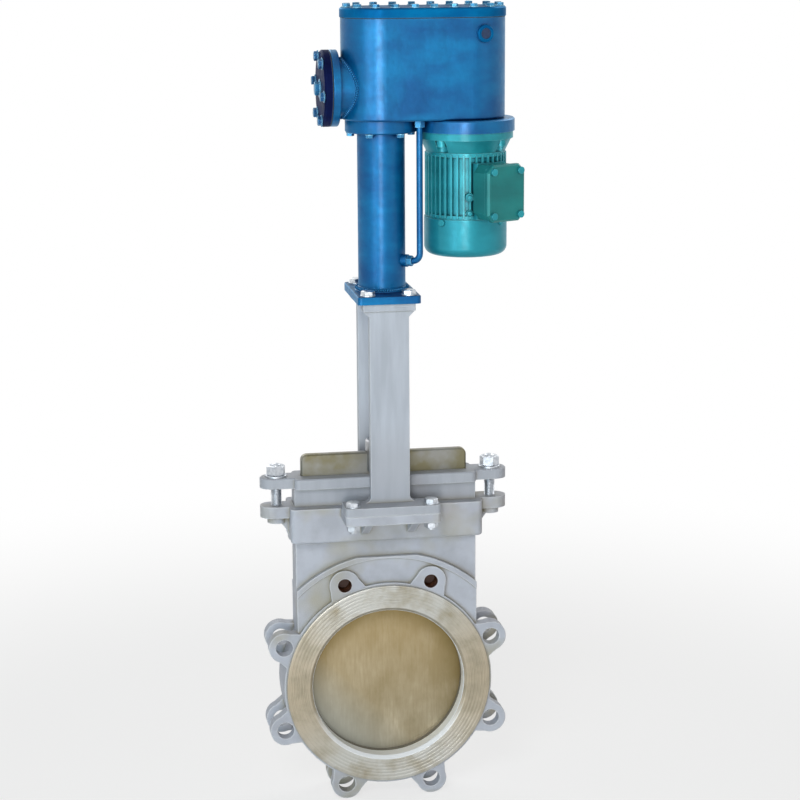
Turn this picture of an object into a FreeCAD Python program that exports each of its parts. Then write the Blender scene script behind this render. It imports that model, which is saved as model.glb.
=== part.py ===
import FreeCAD, Part
import math
import os

# Knife gate valve, lug type, with an electro-hydraulic actuator above it.
# Millimetres. The origin is the centre of the bore, halfway between the two faces.
# +Y is the flow axis, +X is to the right seen from the front port, +Z points up the stem.

# Fits and clearances
running_gap = 0.1
guide_gap = 0.2
thread_gap = 0.1
loose_gap = 0.5

# Pipe connection, for the standard 200 mm flange
bore_radius = 100.0
face_to_face = 70.0
raised_face_radius = 134.0
raised_face_height = 3.0
port_chamfer = 4.0
bolt_circle_radius = 147.5
bolt_count = 8
through_hole_radius = 11.0
tapped_hole_radius = 8.75
tapped_hole_depth = 19.0

# Cast body
disc_margin = 3.0
chest_side_wall = 9.0
chest_face_wall = 12.5
boss_flat_depth = 4.5
lug_radius = 20.0
lug_thickness = 16.0
lug_flare = 8.0
lug_root_depth = 14.0
boss_radius = 176.0
boss_half_depth = 26.0
ridge_width = 7.0
ridge_height = 2.0

# Gland box on top of the body
box_top = 241.0
box_height = 46.0
box_half_depth = 34.0
box_side_wall = 6.4
ear_margin = 21.0
box_corner = 7.0
throat_height = 10.0
ear_end_radius = 16.0
ear_thickness = 15.0
ear_boss_radius = 12.0
ear_boss_height = 8.0
gusset_thickness = 13.0

# Gate and what seals it
gate_thickness = 12.0
gate_overhang = 27.4
gate_centre_height = 4.0
gate_corner = 8.0
gate_edge_bevel = 2.0
gate_side_gap = 1.0
gate_face_gap = 0.5
stroke = 200.0
seat_width = 8.0
seat_depth = 8.0
guide_width = 9.0
guide_thickness = 3.5
guide_side_margin = 3.0
guide_length = 68.0
guide_drop = 9.0
packing_section = 10.0
packing_count = 3

# Gland follower and its studs
follower_bar_thickness = 13.6
follower_bar_height = 24.0
follower_half_depth = 26.0
follower_nose_gap = 0.3
stud_spacing = 280.0
stud_radius = 7.0
stud_hole_play = 0.7
stud_depth = 21.0
washer_radius = 14.0
washer_thickness = 2.5
gland_nut_flats = 22.0
gland_nut_height = 12.0
stud_projection = 3.0

# Yoke legs with their feet and heads
leg_half_width = 25.0
leg_thickness = 12.0
leg_inner_y = 45.0
leg_blend = 9.0
foot_half_width = 61.0
foot_thickness = 11.0
foot_reach = 82.0
foot_corner = 5.0
foot_bolt_inset_x = 11.0
foot_bolt_inset_y = 12.0
ledge_thickness = 12.0
ledge_rib_depth = 24.0
ledge_rib_thickness = 10.0
ledge_rib_x = 30.0
head_half_width = 33.0
head_height = 9.0
head_thickness = 18.0

# M10 screws of the feet and of the cylinder plate
m10_radius = 5.0
m10_hole_radius = 5.5
m10_flats = 17.0
m10_head_height = 6.4
m10_nut_height = 8.4
plate_screw_x = 26.0
plate_screw_depth = 9.0

# Cylinder
gate_stop_gap = 2.0
plate_thickness = 10.0
plate_half_width = 40.0
plate_half_depth = 62.5
plate_corner = 5.0
plate_weld = 5.0
tube_outer_radius = 30.0
tube_inner_radius = 25.0
rod_radius = 14.0
rod_guide_length = 24.0
rod_chamber = 16.0
end_gap = 4.0
rod_seal_section = 4.0
piston_length = 28.0
piston_gap = 0.3
piston_spigot_radius = 9.0
seal_ring_depth = 3.0
seal_ring_height = 4.0
piston_seal_count = 2
rod_seal_count = 2
end_cap_plug = 10.0
end_cap_flange = 10.0
end_cap_overhang = 1.0
flange_radius = 45.0
flange_thickness = 16.0
flange_bolt_circle = 38.5
flange_bolt_count = 6
flange_bolt_turn = 0.0

# Clevis between rod and gate
clevis_wall_gap = 2.0
clevis_overlap = 26.0
clevis_crown = 16.0
clevis_slot_gap = 1.0
clevis_pin_drop = 14.0
clevis_pin_radius = 7.0
pin_head_radius = 10.0
pin_head_thickness = 4.0
pin_tail = 7.0
split_pin_radius = 1.5
rod_spigot_radius = 10.0
rod_spigot_length = 12.0

# Outside oil pipe to the rod side of the cylinder
pipe_radius = 4.0
pipe_bore_radius = 2.5
pipe_x = 44.0
pipe_y = -29.0
pipe_bend = 10.0
port_boss_radius = 8.0
port_boss_reach = 6.0
union_flats = 12.0
union_length = 9.0

# Oil tank
tank_height = 125.0
tank_headroom = 28.0
tank_radius = 49.5
tank_wall = 12.5
tank_floor = 12.0
gasket_thickness = 1.0
lid_thickness = 12.0
lid_overhang = 1.0
lid_edge_bevel = 2.0
lid_bolt_count = 20
lid_bolt_inset = 6.3
m6_radius = 3.0
m6_flats = 10.0
m6_head_height = 4.5
m6_depth = 10.0
m6_length = 22.0

# Side neck with its cover
neck_rise = 39.0
neck_radius = 36.0
neck_bore_radius = 26.0
side_flange_radius = 47.5
side_flange_face = 65.0
side_flange_thickness = 10.0
side_cover_thickness = 10.0
side_cover_bevel = 2.5
side_bolt_circle = 41.5
side_bolt_count = 6
side_bolt_turn = 20.0
m8_radius = 4.0
m8_flats = 13.0
m8_head_height = 5.5
m8_depth = 8.0
side_plug_flats = 17.0
side_plug_height = 7.0
side_plug_radius = 8.0

# Level glass in the tank wall
glass_turn = 17.0
glass_drop = 19.0
glass_spot_height = 1.0
glass_flange_radius = 11.0
glass_flange_thickness = 4.0
glass_thread_radius = 8.0
glass_lens_radius = 6.5
glass_lens_thickness = 3.0

# Pieces inside the tank
block_x = 46.0
block_half_width = 12.0
block_side_gap = 4.0
block_height = 52.0
cap_pipe_y = 12.0
cap_pipe_rise = 14.0
cap_pipe_bend = 9.0
pump_radius = 20.0
pump_floor = 10.0
gear_width = 20.0
pump_cover_thickness = 10.0
strainer_radius = 7.0
strainer_length = 38.0
strainer_gap = 1.0

# Gears of the pump
gear_teeth = 14
gear_module = 1.75
pressure_angle = 20.0
gear_backlash = 0.3
gear_centre_play = 0.15
gear_tip_gap = 0.25
gear_side_gap = 0.2
gear_shaft_radius = 6.0
gear_phase = 0.0

# Coupling and adapter between motor and tank
adapter_side_gap = 1.0
adapter_radius = 62.0
adapter_thickness = 16.0
adapter_bore = 20.0
coupling_radius = 14.0
coupling_length = 20.0
coupling_lift = 5.0
seal_radius = 11.0
seal_height = 5.0
adapter_screw_circle = 34.0
flange_screw_circle = 53.0
m8_socket_radius = 6.5
m8_socket_height = 8.0
m8_key_radius = 3.4
m8_key_depth = 4.0
m8_screw_length = 12.0

# Motor
shield_flange_thickness = 9.0
shield_height = 16.0
shield_step = 4.0
shield_bottom_radius = 50.0
frame_length = 83.0
frame_inner_radius = 42.0
frame_wall = 4.5
fin_reach = 51.5
fin_thickness = 2.4
fin_count = 40
terminal_turn = 26.0
pad_half_width = 22.0
rear_shield_thickness = 8.0
shaft_radius = 8.0
shaft_shoulder = 3.0
bearing_ring_width = 9.5
bearing_width = 10.0
stator_length = 46.0
rotor_radius = 25.5
air_gap = 0.5
winding_height = 11.0
winding_inset = 2.5
spigot_depth = 4.0

# Fan and cowl
cowl_length = 48.0
cowl_side_gap = 1.0
cowl_wall = 1.6
cowl_rounding = 11.0
grille_rings = 4
grille_spokes = 6
grille_slot = 4.0
grille_web = 3.0
grille_hub = 9.0
fan_radius = 45.0
fan_hub_radius = 13.0
fan_blades = 8
fan_height = 16.0
fan_disc = 2.5
fan_clearance = 9.0

# Terminal box
box_face = 85.0
terminal_half_width = 27.5
terminal_height = 68.0
terminal_lift = 2.0
pad_height = 1.5
terminal_wall = 3.0
terminal_lid_thickness = 8.0
terminal_lid_overhang = 1.5
terminal_corner_cut = 9.0
window_side_margin = 8.0
window_end_margin = 14.0
window_step = 2.0
entry_radius = 8.0
m5_radius = 2.5
m5_head_radius = 4.5
m5_head_height = 3.0
m5_depth = 6.0

Vector = FreeCAD.Vector
UP = Vector(0, 0, 1)
FLOW = Vector(0, 1, 0)
RIGHT = Vector(1, 0, 0)
ORIGIN = Vector(0, 0, 0)

# Heights and places that follow from the sizes above
half_face = face_to_face / 2
flange_plane = half_face - raised_face_height
box_bottom = box_top - box_height
gate_half = gate_thickness / 2
# the gate covers the whole seat ring at both sides
gate_half_width = bore_radius + seat_width
pocket_half_width = gate_half_width + gate_side_gap
pocket_half = gate_half + gate_face_gap
disc_radius = raised_face_radius + disc_margin
chest_half_width = pocket_half_width + chest_side_wall
chest_half_depth = pocket_half + chest_face_wall
boss_flat_height = boss_radius - boss_flat_depth
packing_inner_x = gate_half_width + guide_gap
packing_inner_y = gate_half + guide_gap
packing_outer_x = packing_inner_x + packing_section
packing_outer_y = packing_inner_y + packing_section
stuffing_x = packing_outer_x + guide_gap
stuffing_y = packing_outer_y + guide_gap
stuffing_bottom = box_bottom + throat_height
box_half_width = stuffing_x + box_side_wall
guide_top = box_bottom - guide_drop
guide_bottom = guide_top - guide_length
packing_top = stuffing_bottom + packing_count * packing_section
bar_bottom = box_top + follower_bar_height
bar_top = bar_bottom + follower_bar_thickness
gate_top = bar_top + gate_overhang
stud_x = stud_spacing / 2
stud_hole_radius = stud_radius + stud_hole_play
ear_reach = stud_x + ear_margin
foot_top = box_top + foot_thickness
ledge_bottom = box_top - ledge_thickness
leg_middle_y = leg_inner_y + leg_thickness / 2
foot_bolt_x = foot_half_width - foot_bolt_inset_x
foot_bolt_y = foot_reach - foot_bolt_inset_y
plate_bottom = gate_top + stroke + gate_stop_gap
plate_top = plate_bottom + plate_thickness
clevis_radius = tube_inner_radius - clevis_wall_gap
clevis_bottom = gate_top - clevis_overlap
clevis_top = gate_top + clevis_crown
clevis_pin_height = gate_top - clevis_pin_drop
guide_start = clevis_top + stroke + gate_stop_gap
guide_end = guide_start + rod_guide_length
port_height = guide_end + rod_chamber / 2
piston_start = guide_end + rod_chamber
piston_end = piston_start + piston_length
tube_top = piston_end + stroke + end_gap + end_cap_plug
tank_top = tube_top + end_cap_flange + cap_pipe_rise + tank_headroom
tank_bottom = tank_top - tank_height
tank_inside_bottom = tank_bottom + tank_floor
tank_inner_radius = tank_radius - tank_wall
block_half_depth = tank_inner_radius - block_side_gap
side_height = tank_bottom + neck_rise
glass_height = tank_top - glass_drop
glass_seat_radius = tank_radius + glass_spot_height
motor_x = flange_radius + adapter_side_gap + adapter_radius
lid_bottom = tank_top + gasket_thickness
lid_top = lid_bottom + lid_thickness
cover_inner = side_flange_face + gasket_thickness
cover_outer = cover_inner + side_cover_thickness
gear_pitch_radius = gear_teeth * gear_module / 2
gear_tip_radius = gear_pitch_radius + gear_module
gear_distance = 2 * gear_pitch_radius + gear_centre_play
chamber_bottom = tank_inside_bottom + pump_floor
chamber_top = chamber_bottom + gear_width
pump_top = chamber_top + pump_cover_thickness
adapter_bottom = tank_bottom - adapter_thickness
coupling_top = tank_bottom + coupling_lift
coupling_bottom = coupling_top - coupling_length
shield_bottom = adapter_bottom - shield_flange_thickness - shield_height
frame_bottom = shield_bottom - frame_length
rear_shield_bottom = frame_bottom - rear_shield_thickness
cowl_bottom = frame_bottom - cowl_length
shield_top_radius = adapter_radius - shield_step
frame_radius = frame_inner_radius + frame_wall
box_back = fin_reach + pad_height
cowl_radius = fin_reach + cowl_side_gap
terminal_bottom = frame_bottom + terminal_lift
shaft_shoulder_radius = shaft_radius + shaft_shoulder
bearing_radius = shaft_radius + bearing_ring_width
stator_inner_radius = rotor_radius + air_gap
stator_bottom = frame_bottom + (frame_length - stator_length) / 2
stator_top = stator_bottom + stator_length


# Small shape makers

def cylinder(radius, height, at, axis=UP):
    return Part.makeCylinder(radius, height, at, axis)


def ring(outer, inner, height, at, axis=UP):
    return cylinder(outer, height, at, axis).cut(cylinder(inner, height, at, axis))


def slab(x0, x1, y0, y1, z0, z1):
    return Part.makeBox(x1 - x0, y1 - y0, z1 - z0, Vector(x0, y0, z0))


def centred_slab(half_x, half_y, z0, z1, x=0.0, y=0.0):
    return slab(x - half_x, x + half_x, y - half_y, y + half_y, z0, z1)


def rounded_slab(half_x, half_y, z0, z1, corner, x=0.0, y=0.0):
    block = centred_slab(half_x, half_y, z0, z1, x, y)
    return block.makeFillet(corner, edges_along(block, UP))


def edges_along(shape, direction):
    chosen = []
    for edge in shape.Edges:
        if edge.Curve.TypeId == "Part::GeomLine":
            if edge.tangentAt(edge.FirstParameter).cross(direction).Length < 1e-6:
                chosen.append(edge)
    return chosen


def edges_at_height(shape, height):
    chosen = []
    for edge in shape.Edges:
        box = edge.BoundBox
        if abs(box.ZMin - height) < 1e-6 and abs(box.ZMax - height) < 1e-6:
            chosen.append(edge)
    return chosen


def fused(shapes):
    result = shapes[0].multiFuse(shapes[1:])
    return result.removeSplitter()


def cut_by(shape, tools):
    return shape.cut(Part.makeCompound(tools))


def placed(shape, at, axis):
    """Turns a shape made along +Z so that it points along the axis, then moves it."""
    moved = shape.copy()
    moved.Placement = FreeCAD.Placement(at, FreeCAD.Rotation(UP, axis)).multiply(moved.Placement)
    return moved


def turned(profile, at=ORIGIN, axis=UP):
    """Revolves a closed outline of (radius, height) points about the axis."""
    points = [Vector(radius, 0, height) for radius, height in profile]
    face = Part.Face(Part.makePolygon(points + [points[0]]))
    return placed(face.revolve(ORIGIN, UP, 360), at, axis)


def extruded(points, direction):
    return Part.Face(Part.makePolygon(points + [points[0]])).extrude(direction)


def hex_prism(flats, height, at, axis=UP, bevelled=True):
    corner_radius = flats / math.sqrt(3)
    points = []
    for step in range(6):
        angle = math.radians(60 * step + 30)
        points.append(Vector(corner_radius * math.cos(angle), corner_radius * math.sin(angle), 0))
    head = extruded(points, Vector(0, 0, height))
    if bevelled:
        # the usual rounded-off corners of a bolt head
        rim = corner_radius - flats / 2
        crown = turned([
            (0, 0), (corner_radius, 0), (corner_radius, height - rim * 0.6),
            (flats / 2, height), (0, height)])
        head = head.common(crown)
    return placed(head, at, axis)


def hex_bolt(flats, head_height, radius, length, at, axis=UP):
    """The head stands on the point, and the shank goes back from it against the axis."""
    head = hex_prism(flats, head_height, at, axis)
    shank = cylinder(radius, length, at - axis * length, axis)
    return head.fuse(shank).removeSplitter()


def hex_nut(flats, height, hole_radius, at, axis=UP):
    return hex_prism(flats, height, at, axis).cut(cylinder(hole_radius, height, at, axis))


def socket_screw(at, axis, length, radius, head_radius, head_height):
    head = cylinder(head_radius, head_height, at, axis)
    shank = cylinder(radius, length, at - axis * length, axis)
    key = placed(extruded_key(), at + axis * (head_height - m8_key_depth), axis)
    return head.fuse(shank).removeSplitter().cut(key)


def extruded_key():
    return hex_prism(2 * m8_key_radius, m8_key_depth, ORIGIN, UP, False)


def circle_points(count, radius, centre=ORIGIN, first=0.0):
    """Points round a vertical axis, the first at this angle from +X."""
    points = []
    for step in range(count):
        angle = math.radians(first + 360.0 * step / count)
        points.append(centre + Vector(radius * math.cos(angle), radius * math.sin(angle), 0))
    return points


def bolt_places():
    """Flange bolts straddle the centre lines, as on any pipe flange."""
    places = []
    for step in range(bolt_count):
        angle = 360.0 / bolt_count * (step + 0.5)
        places.append((angle, bolt_circle_radius * math.cos(math.radians(angle)),
                       bolt_circle_radius * math.sin(math.radians(angle))))
    return places


def stadium_face(radius, length, z):
    """Two half circles joined by straight sides, from x = 0 to x = length."""
    corners = [Vector(0, -radius, z), Vector(length, -radius, z),
               Vector(length, radius, z), Vector(0, radius, z)]
    edges = [
        Part.LineSegment(corners[0], corners[1]).toShape(),
        Part.Arc(corners[1], Vector(length + radius, 0, z), corners[2]).toShape(),
        Part.LineSegment(corners[2], corners[3]).toShape(),
        Part.Arc(corners[3], Vector(-radius, 0, z), corners[0]).toShape()]
    return Part.Face(Part.Wire(edges))


def stadium(radius, z0, z1):
    return stadium_face(radius, motor_x, z0).extrude(Vector(0, 0, z1 - z0))


def bent_tube(points, radius, bore, bend):
    """A pipe of straight runs with one tangent arc at each inner point."""
    edges = []
    start = points[0]
    for index in range(1, len(points) - 1):
        corner = points[index]
        back = (points[index - 1] - corner).normalize()
        ahead = (points[index + 1] - corner).normalize()
        half_turn = (math.pi - back.getAngle(ahead)) / 2
        reach = bend * math.tan(half_turn)
        arc_start = corner + back * reach
        arc_end = corner + ahead * reach
        middle_way = (back + ahead).normalize()
        middle = corner + middle_way * (bend / math.cos(half_turn) - bend)
        edges.append(Part.LineSegment(start, arc_start).toShape())
        edges.append(Part.Arc(arc_start, middle, arc_end).toShape())
        start = arc_end
    edges.append(Part.LineSegment(start, points[-1]).toShape())
    path = Part.Wire(edges)
    heading = points[1] - points[0]
    outer = Part.Wire([Part.makeCircle(radius, points[0], heading)])
    inner = Part.Wire([Part.makeCircle(bore, points[0], heading)])
    solid = path.makePipeShell([outer], True, True)
    hollow = path.makePipeShell([inner], True, True)
    return solid.cut(hollow)


# Valve body

def lug(angle, y0, thickness):
    """One lug on the disc: a round pad with a web that widens towards the disc."""
    root = disc_radius - lug_root_depth
    thick = Vector(0, thickness, 0)
    web = extruded([
        Vector(root, y0, -lug_radius - lug_flare), Vector(bolt_circle_radius, y0, -lug_radius),
        Vector(bolt_circle_radius, y0, lug_radius), Vector(root, y0, lug_radius + lug_flare)], thick)
    pad = cylinder(lug_radius, thickness, Vector(bolt_circle_radius, y0, 0), FLOW)
    solid = web.fuse(pad)
    solid.rotate(ORIGIN, FLOW, -angle)
    return solid


def lug_solids():
    solids = []
    for angle, x, z in bolt_places():
        if z > bolt_circle_radius * 0.8:
            # the two lugs over the chest are pads that stand out of the boss
            solids.append(lug(angle, -flange_plane, 2 * flange_plane))
        else:
            solids.append(lug(angle, -flange_plane, lug_thickness))
            solids.append(lug(angle, flange_plane - lug_thickness, lug_thickness))
    return solids


def chest_boss():
    """The round shoulder over the port, clipped by the chest's sides and flat on top."""
    boss = cylinder(boss_radius, 2 * boss_half_depth, Vector(0, -boss_half_depth, 0), FLOW)
    ridge_half = boss_half_depth + ridge_height
    ridge = ring(boss_radius, boss_radius - ridge_width, 2 * ridge_half,
                 Vector(0, -ridge_half, 0), FLOW)
    window = slab(-chest_half_width, chest_half_width, -ridge_half, ridge_half, 0, boss_flat_height)
    return boss.fuse(ridge).common(window)


def ear_gussets():
    """Under each ear of the gland box a curved web runs down to the box's lower corner."""
    solids = []
    half = gusset_thickness / 2
    outer = ear_reach - ear_end_radius / 2
    top = box_top - ear_thickness
    for side in (-1, 1):
        start = Vector(side * box_half_width, -half, box_bottom)
        end = Vector(side * outer, -half, top)
        middle = Vector(side * (box_half_width + (outer - box_half_width) * 0.32), -half,
                        box_bottom + (top - box_bottom) * 0.68)
        inside_top = Vector(side * (box_half_width - 3), -half, top)
        inside_low = Vector(side * (box_half_width - 3), -half, box_bottom)
        edges = [
            Part.Arc(start, middle, end).toShape(),
            Part.LineSegment(end, inside_top).toShape(),
            Part.LineSegment(inside_top, inside_low).toShape(),
            Part.LineSegment(inside_low, start).toShape()]
        solids.append(Part.Face(Part.Wire(edges)).extrude(Vector(0, gusset_thickness, 0)))
    return solids


def yoke_ledges():
    """Ledges front and back that carry the yoke's feet, each on two ribs."""
    solids = []
    for side in (-1, 1):
        inner = side * (box_half_depth - 2)
        outer = side * foot_reach
        ledge = slab(-foot_half_width, foot_half_width, min(inner, outer), max(inner, outer),
                     ledge_bottom, box_top)
        outer_edges = [edge for edge in edges_along(ledge, UP)
                       if abs(edge.BoundBox.YMin - outer) < 1e-6]
        solids.append(ledge.makeFillet(foot_corner, outer_edges))
        for x in (-ledge_rib_x, ledge_rib_x):
            left = x - ledge_rib_thickness / 2
            solids.append(extruded([
                Vector(left, inner, ledge_bottom),
                Vector(left, side * (foot_reach - foot_corner), ledge_bottom),
                Vector(left, side * box_half_depth, ledge_bottom - ledge_rib_depth),
                Vector(left, inner, ledge_bottom - ledge_rib_depth)],
                Vector(ledge_rib_thickness, 0, 0)))
    return solids


def body_solid():
    disc = cylinder(disc_radius, 2 * flange_plane, Vector(0, -flange_plane, 0), FLOW)
    face = cylinder(raised_face_radius, face_to_face, Vector(0, -half_face, 0), FLOW)
    chest = centred_slab(chest_half_width, chest_half_depth, 0, box_bottom)
    box = rounded_slab(box_half_width, box_half_depth, box_bottom, box_top, box_corner)
    box = box.makeFillet(box_corner / 2, edges_at_height(box, box_bottom))
    ear_z = box_top - ear_thickness
    ears = [centred_slab(ear_reach - ear_end_radius, ear_end_radius, ear_z, box_top)]
    for side in (-1, 1):
        ears.append(cylinder(ear_end_radius, ear_thickness,
                             Vector(side * (ear_reach - ear_end_radius), 0, ear_z)))
        ears.append(cylinder(ear_boss_radius, ear_boss_height,
                             Vector(side * stud_x, 0, ear_z - ear_boss_height)))
    return fused([disc, face, chest, chest_boss(), box] + ears + lug_solids()
                 + ear_gussets() + yoke_ledges())


def body_spaces():
    """Everything that is cut out of the body casting."""
    tools = [cylinder(bore_radius, face_to_face, Vector(0, -half_face, 0), FLOW)]
    chamfer_outer = bore_radius + port_chamfer
    for side in (-1, 1):
        tools.append(turned([
            (0, 0), (chamfer_outer, 0), (bore_radius, port_chamfer), (0, port_chamfer)],
            Vector(0, side * half_face, 0), FLOW * -side))
        tools.append(cylinder(bore_radius + seat_width, pocket_half + seat_depth - gate_half - guide_gap,
                              Vector(0, side * (gate_half + guide_gap), 0), FLOW * side))
    lower = cylinder(pocket_half_width, 2 * pocket_half, Vector(0, -pocket_half, gate_centre_height), FLOW)
    upper = centred_slab(pocket_half_width, pocket_half, gate_centre_height, box_top)
    tools += [lower, upper]
    tools.append(centred_slab(stuffing_x, stuffing_y, stuffing_bottom, box_top))
    for x0, y0 in guide_corners():
        tools.append(slab(x0, x0 + guide_width, y0, y0 + guide_thickness, guide_bottom, guide_top))
    for angle, x, z in bolt_places():
        if z > bolt_circle_radius * 0.8:
            for side in (-1, 1):
                tools.append(cylinder(tapped_hole_radius, tapped_hole_depth,
                                      Vector(x, side * flange_plane, z), FLOW * -side))
        else:
            tools.append(cylinder(through_hole_radius, face_to_face, Vector(x, -half_face, z), FLOW))
    for side in (-1, 1):
        tools.append(cylinder(stud_radius + thread_gap, stud_depth + stud_projection,
                              Vector(side * stud_x, 0, box_top - stud_depth)))
        for x in (-foot_bolt_x, foot_bolt_x):
            tools.append(cylinder(m10_hole_radius, ledge_thickness,
                                  Vector(x, side * foot_bolt_y, ledge_bottom)))
    return tools


def guide_corners():
    """Low corners, in X and Y, of the four guide strips that lie in the pocket's walls."""
    far_x = gate_half_width - guide_side_margin
    inner_y = gate_half + guide_gap
    return [
        (-far_x, inner_y), (far_x - guide_width, inner_y),
        (-far_x, -inner_y - guide_thickness), (far_x - guide_width, -inner_y - guide_thickness)]


def gate_guides():
    strips = []
    for x0, y0 in guide_corners():
        strips.append(slab(x0, x0 + guide_width, y0, y0 + guide_thickness, guide_bottom, guide_top))
    return Part.makeCompound(strips)


def seat_rings():
    rings = []
    inner = gate_half + guide_gap
    outer = pocket_half + seat_depth
    for side in (-1, 1):
        rings.append(ring(bore_radius + seat_width, bore_radius, outer - inner,
                          Vector(0, side * inner, 0), FLOW * side))
    return Part.makeCompound(rings)


def packing_rings():
    rings = []
    for step in range(packing_count):
        low = stuffing_bottom + step * packing_section
        outer = centred_slab(packing_outer_x, packing_outer_y, low, low + packing_section)
        rings.append(outer.cut(centred_slab(packing_inner_x, packing_inner_y, low, low + packing_section)))
    return Part.makeCompound(rings)


def gland_follower():
    nose = centred_slab(stuffing_x - follower_nose_gap, stuffing_y - follower_nose_gap,
                        packing_top, bar_bottom)
    middle = rounded_slab(packing_outer_x, follower_half_depth, bar_bottom, bar_top, box_corner)
    wings = centred_slab(ear_reach - ear_end_radius, ear_end_radius, bar_bottom, bar_top)
    ends = []
    for side in (-1, 1):
        ends.append(cylinder(ear_end_radius, follower_bar_thickness,
                             Vector(side * (ear_reach - ear_end_radius), 0, bar_bottom)))
    bar = fused([middle, wings] + ends)
    bar = bar.makeChamfer(1.5, edges_at_height(bar, bar_top))
    tools = [centred_slab(gate_half_width + loose_gap, gate_half + loose_gap, packing_top, bar_top)]
    for side in (-1, 1):
        tools.append(cylinder(stud_hole_radius, follower_bar_thickness, Vector(side * stud_x, 0, bar_bottom)))
    return cut_by(nose.fuse(bar).removeSplitter(), tools)


def gland_fasteners():
    studs = []
    nuts = []
    washers = []
    nut_bottom = bar_top + washer_thickness
    stud_top = nut_bottom + gland_nut_height + stud_projection
    low = box_top - stud_depth
    for side in (-1, 1):
        at = Vector(side * stud_x, 0, 0)
        stud = cylinder(stud_radius, stud_top - low, at + UP * low)
        studs.append(stud.makeChamfer(1.2, edges_at_height(stud, stud_top)))
        washers.append(ring(washer_radius, stud_radius + thread_gap * 3, washer_thickness, at + UP * bar_top))
        nuts.append(hex_nut(gland_nut_flats, gland_nut_height, stud_radius + thread_gap,
                            at + UP * nut_bottom))
    return Part.makeCompound(studs), Part.makeCompound(nuts), Part.makeCompound(washers)


# Yoke

def leg_outline(y):
    """Front outline of a leg, its ends widened with round inner corners."""
    low = box_top
    top = plate_bottom
    head_low = top - head_height
    leg = leg_half_width
    blend = leg_blend
    corner = blend * (1 - math.sqrt(0.5))
    edges = []
    half = [
        ("line", (foot_half_width, low), (foot_half_width, foot_top)),
        ("line", (foot_half_width, foot_top), (leg + blend, foot_top)),
        ("arc", (leg + blend, foot_top), (leg + corner, foot_top + corner), (leg, foot_top + blend)),
        ("line", (leg, foot_top + blend), (leg, head_low - head_half_width + leg)),
        ("line", (leg, head_low - head_half_width + leg), (head_half_width, head_low)),
        ("line", (head_half_width, head_low), (head_half_width, top))]
    for side in (1, -1):
        for piece in half:
            points = [Vector(side * x, y, z) for x, z in piece[1:]]
            if piece[0] == "line":
                edges.append(Part.LineSegment(points[0], points[1]).toShape())
            else:
                edges.append(Part.Arc(points[0], points[1], points[2]).toShape())
    for half_width, z in ((foot_half_width, low), (head_half_width, top)):
        edges.append(Part.LineSegment(Vector(-half_width, y, z), Vector(half_width, y, z)).toShape())
    return Part.Face(Part.Wire(Part.sortEdges(edges)[0]))


def yoke_leg(side):
    """The front leg has side -1, the rear leg side +1."""
    upright = leg_outline(leg_inner_y).extrude(Vector(0, leg_thickness, 0))
    foot = slab(-foot_half_width, foot_half_width, leg_inner_y, foot_reach, box_top, foot_top)
    outer_edges = [edge for edge in edges_along(foot, UP)
                   if abs(edge.BoundBox.YMin - foot_reach) < 1e-6]
    foot = foot.makeFillet(foot_corner, outer_edges)
    head_inner = leg_middle_y - head_thickness / 2
    head = slab(-head_half_width, head_half_width, head_inner, head_inner + head_thickness,
                plate_bottom - head_height, plate_bottom)
    leg = fused([upright, foot, head])
    tools = []
    for x in (-foot_bolt_x, foot_bolt_x):
        tools.append(cylinder(m10_hole_radius, foot_thickness, Vector(x, foot_bolt_y, box_top)))
    for x in (-plate_screw_x, plate_screw_x):
        tools.append(cylinder(m10_radius + thread_gap, plate_screw_depth,
                              Vector(x, leg_middle_y, plate_bottom - plate_screw_depth)))
    leg = cut_by(leg, tools)
    if side < 0:
        leg = leg.mirror(ORIGIN, FLOW)
    return leg


def foot_fasteners():
    bolts = []
    nuts = []
    length = foot_thickness + ledge_thickness + m10_nut_height + stud_projection
    for side in (-1, 1):
        for x in (-foot_bolt_x, foot_bolt_x):
            at = Vector(x, side * foot_bolt_y, foot_top)
            bolts.append(hex_bolt(m10_flats, m10_head_height, m10_radius, length, at))
            nut_at = Vector(x, side * foot_bolt_y, ledge_bottom)
            nuts.append(hex_nut(m10_flats, m10_nut_height, m10_radius + thread_gap, nut_at, UP * -1))
    return Part.makeCompound(bolts), Part.makeCompound(nuts)


def plate_screws():
    screws = []
    length = plate_thickness + plate_screw_depth - thread_gap
    for side in (-1, 1):
        for x in (-plate_screw_x, plate_screw_x):
            at = Vector(x, side * leg_middle_y, plate_top)
            screws.append(hex_bolt(m10_flats, m10_head_height, m10_radius, length, at))
    return Part.makeCompound(screws)


# Gate, rod and piston, which slide together

def gate_plate():
    top = gate_top
    low = gate_centre_height
    half = gate_half_width
    edges = [
        Part.Arc(Vector(-half, -gate_half, low), Vector(0, -gate_half, low - half),
                 Vector(half, -gate_half, low)).toShape(),
        Part.LineSegment(Vector(half, -gate_half, low), Vector(half, -gate_half, top)).toShape(),
        Part.LineSegment(Vector(half, -gate_half, top), Vector(-half, -gate_half, top)).toShape(),
        Part.LineSegment(Vector(-half, -gate_half, top), Vector(-half, -gate_half, low)).toShape()]
    plate = Part.Face(Part.Wire(edges)).extrude(Vector(0, gate_thickness, 0))
    corners = [edge for edge in edges_along(plate, FLOW) if abs(edge.BoundBox.ZMin - top) < 1e-6]
    plate = plate.makeFillet(gate_corner, corners)
    rim = [edge for edge in plate.Edges
           if edge.Curve.TypeId == "Part::GeomCircle" and edge.BoundBox.ZMin < low - half + 1]
    plate = plate.makeChamfer(gate_edge_bevel, rim)
    return plate.cut(cylinder(clevis_pin_radius + running_gap, gate_thickness,
                              Vector(0, -gate_half, clevis_pin_height), FLOW))


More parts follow.
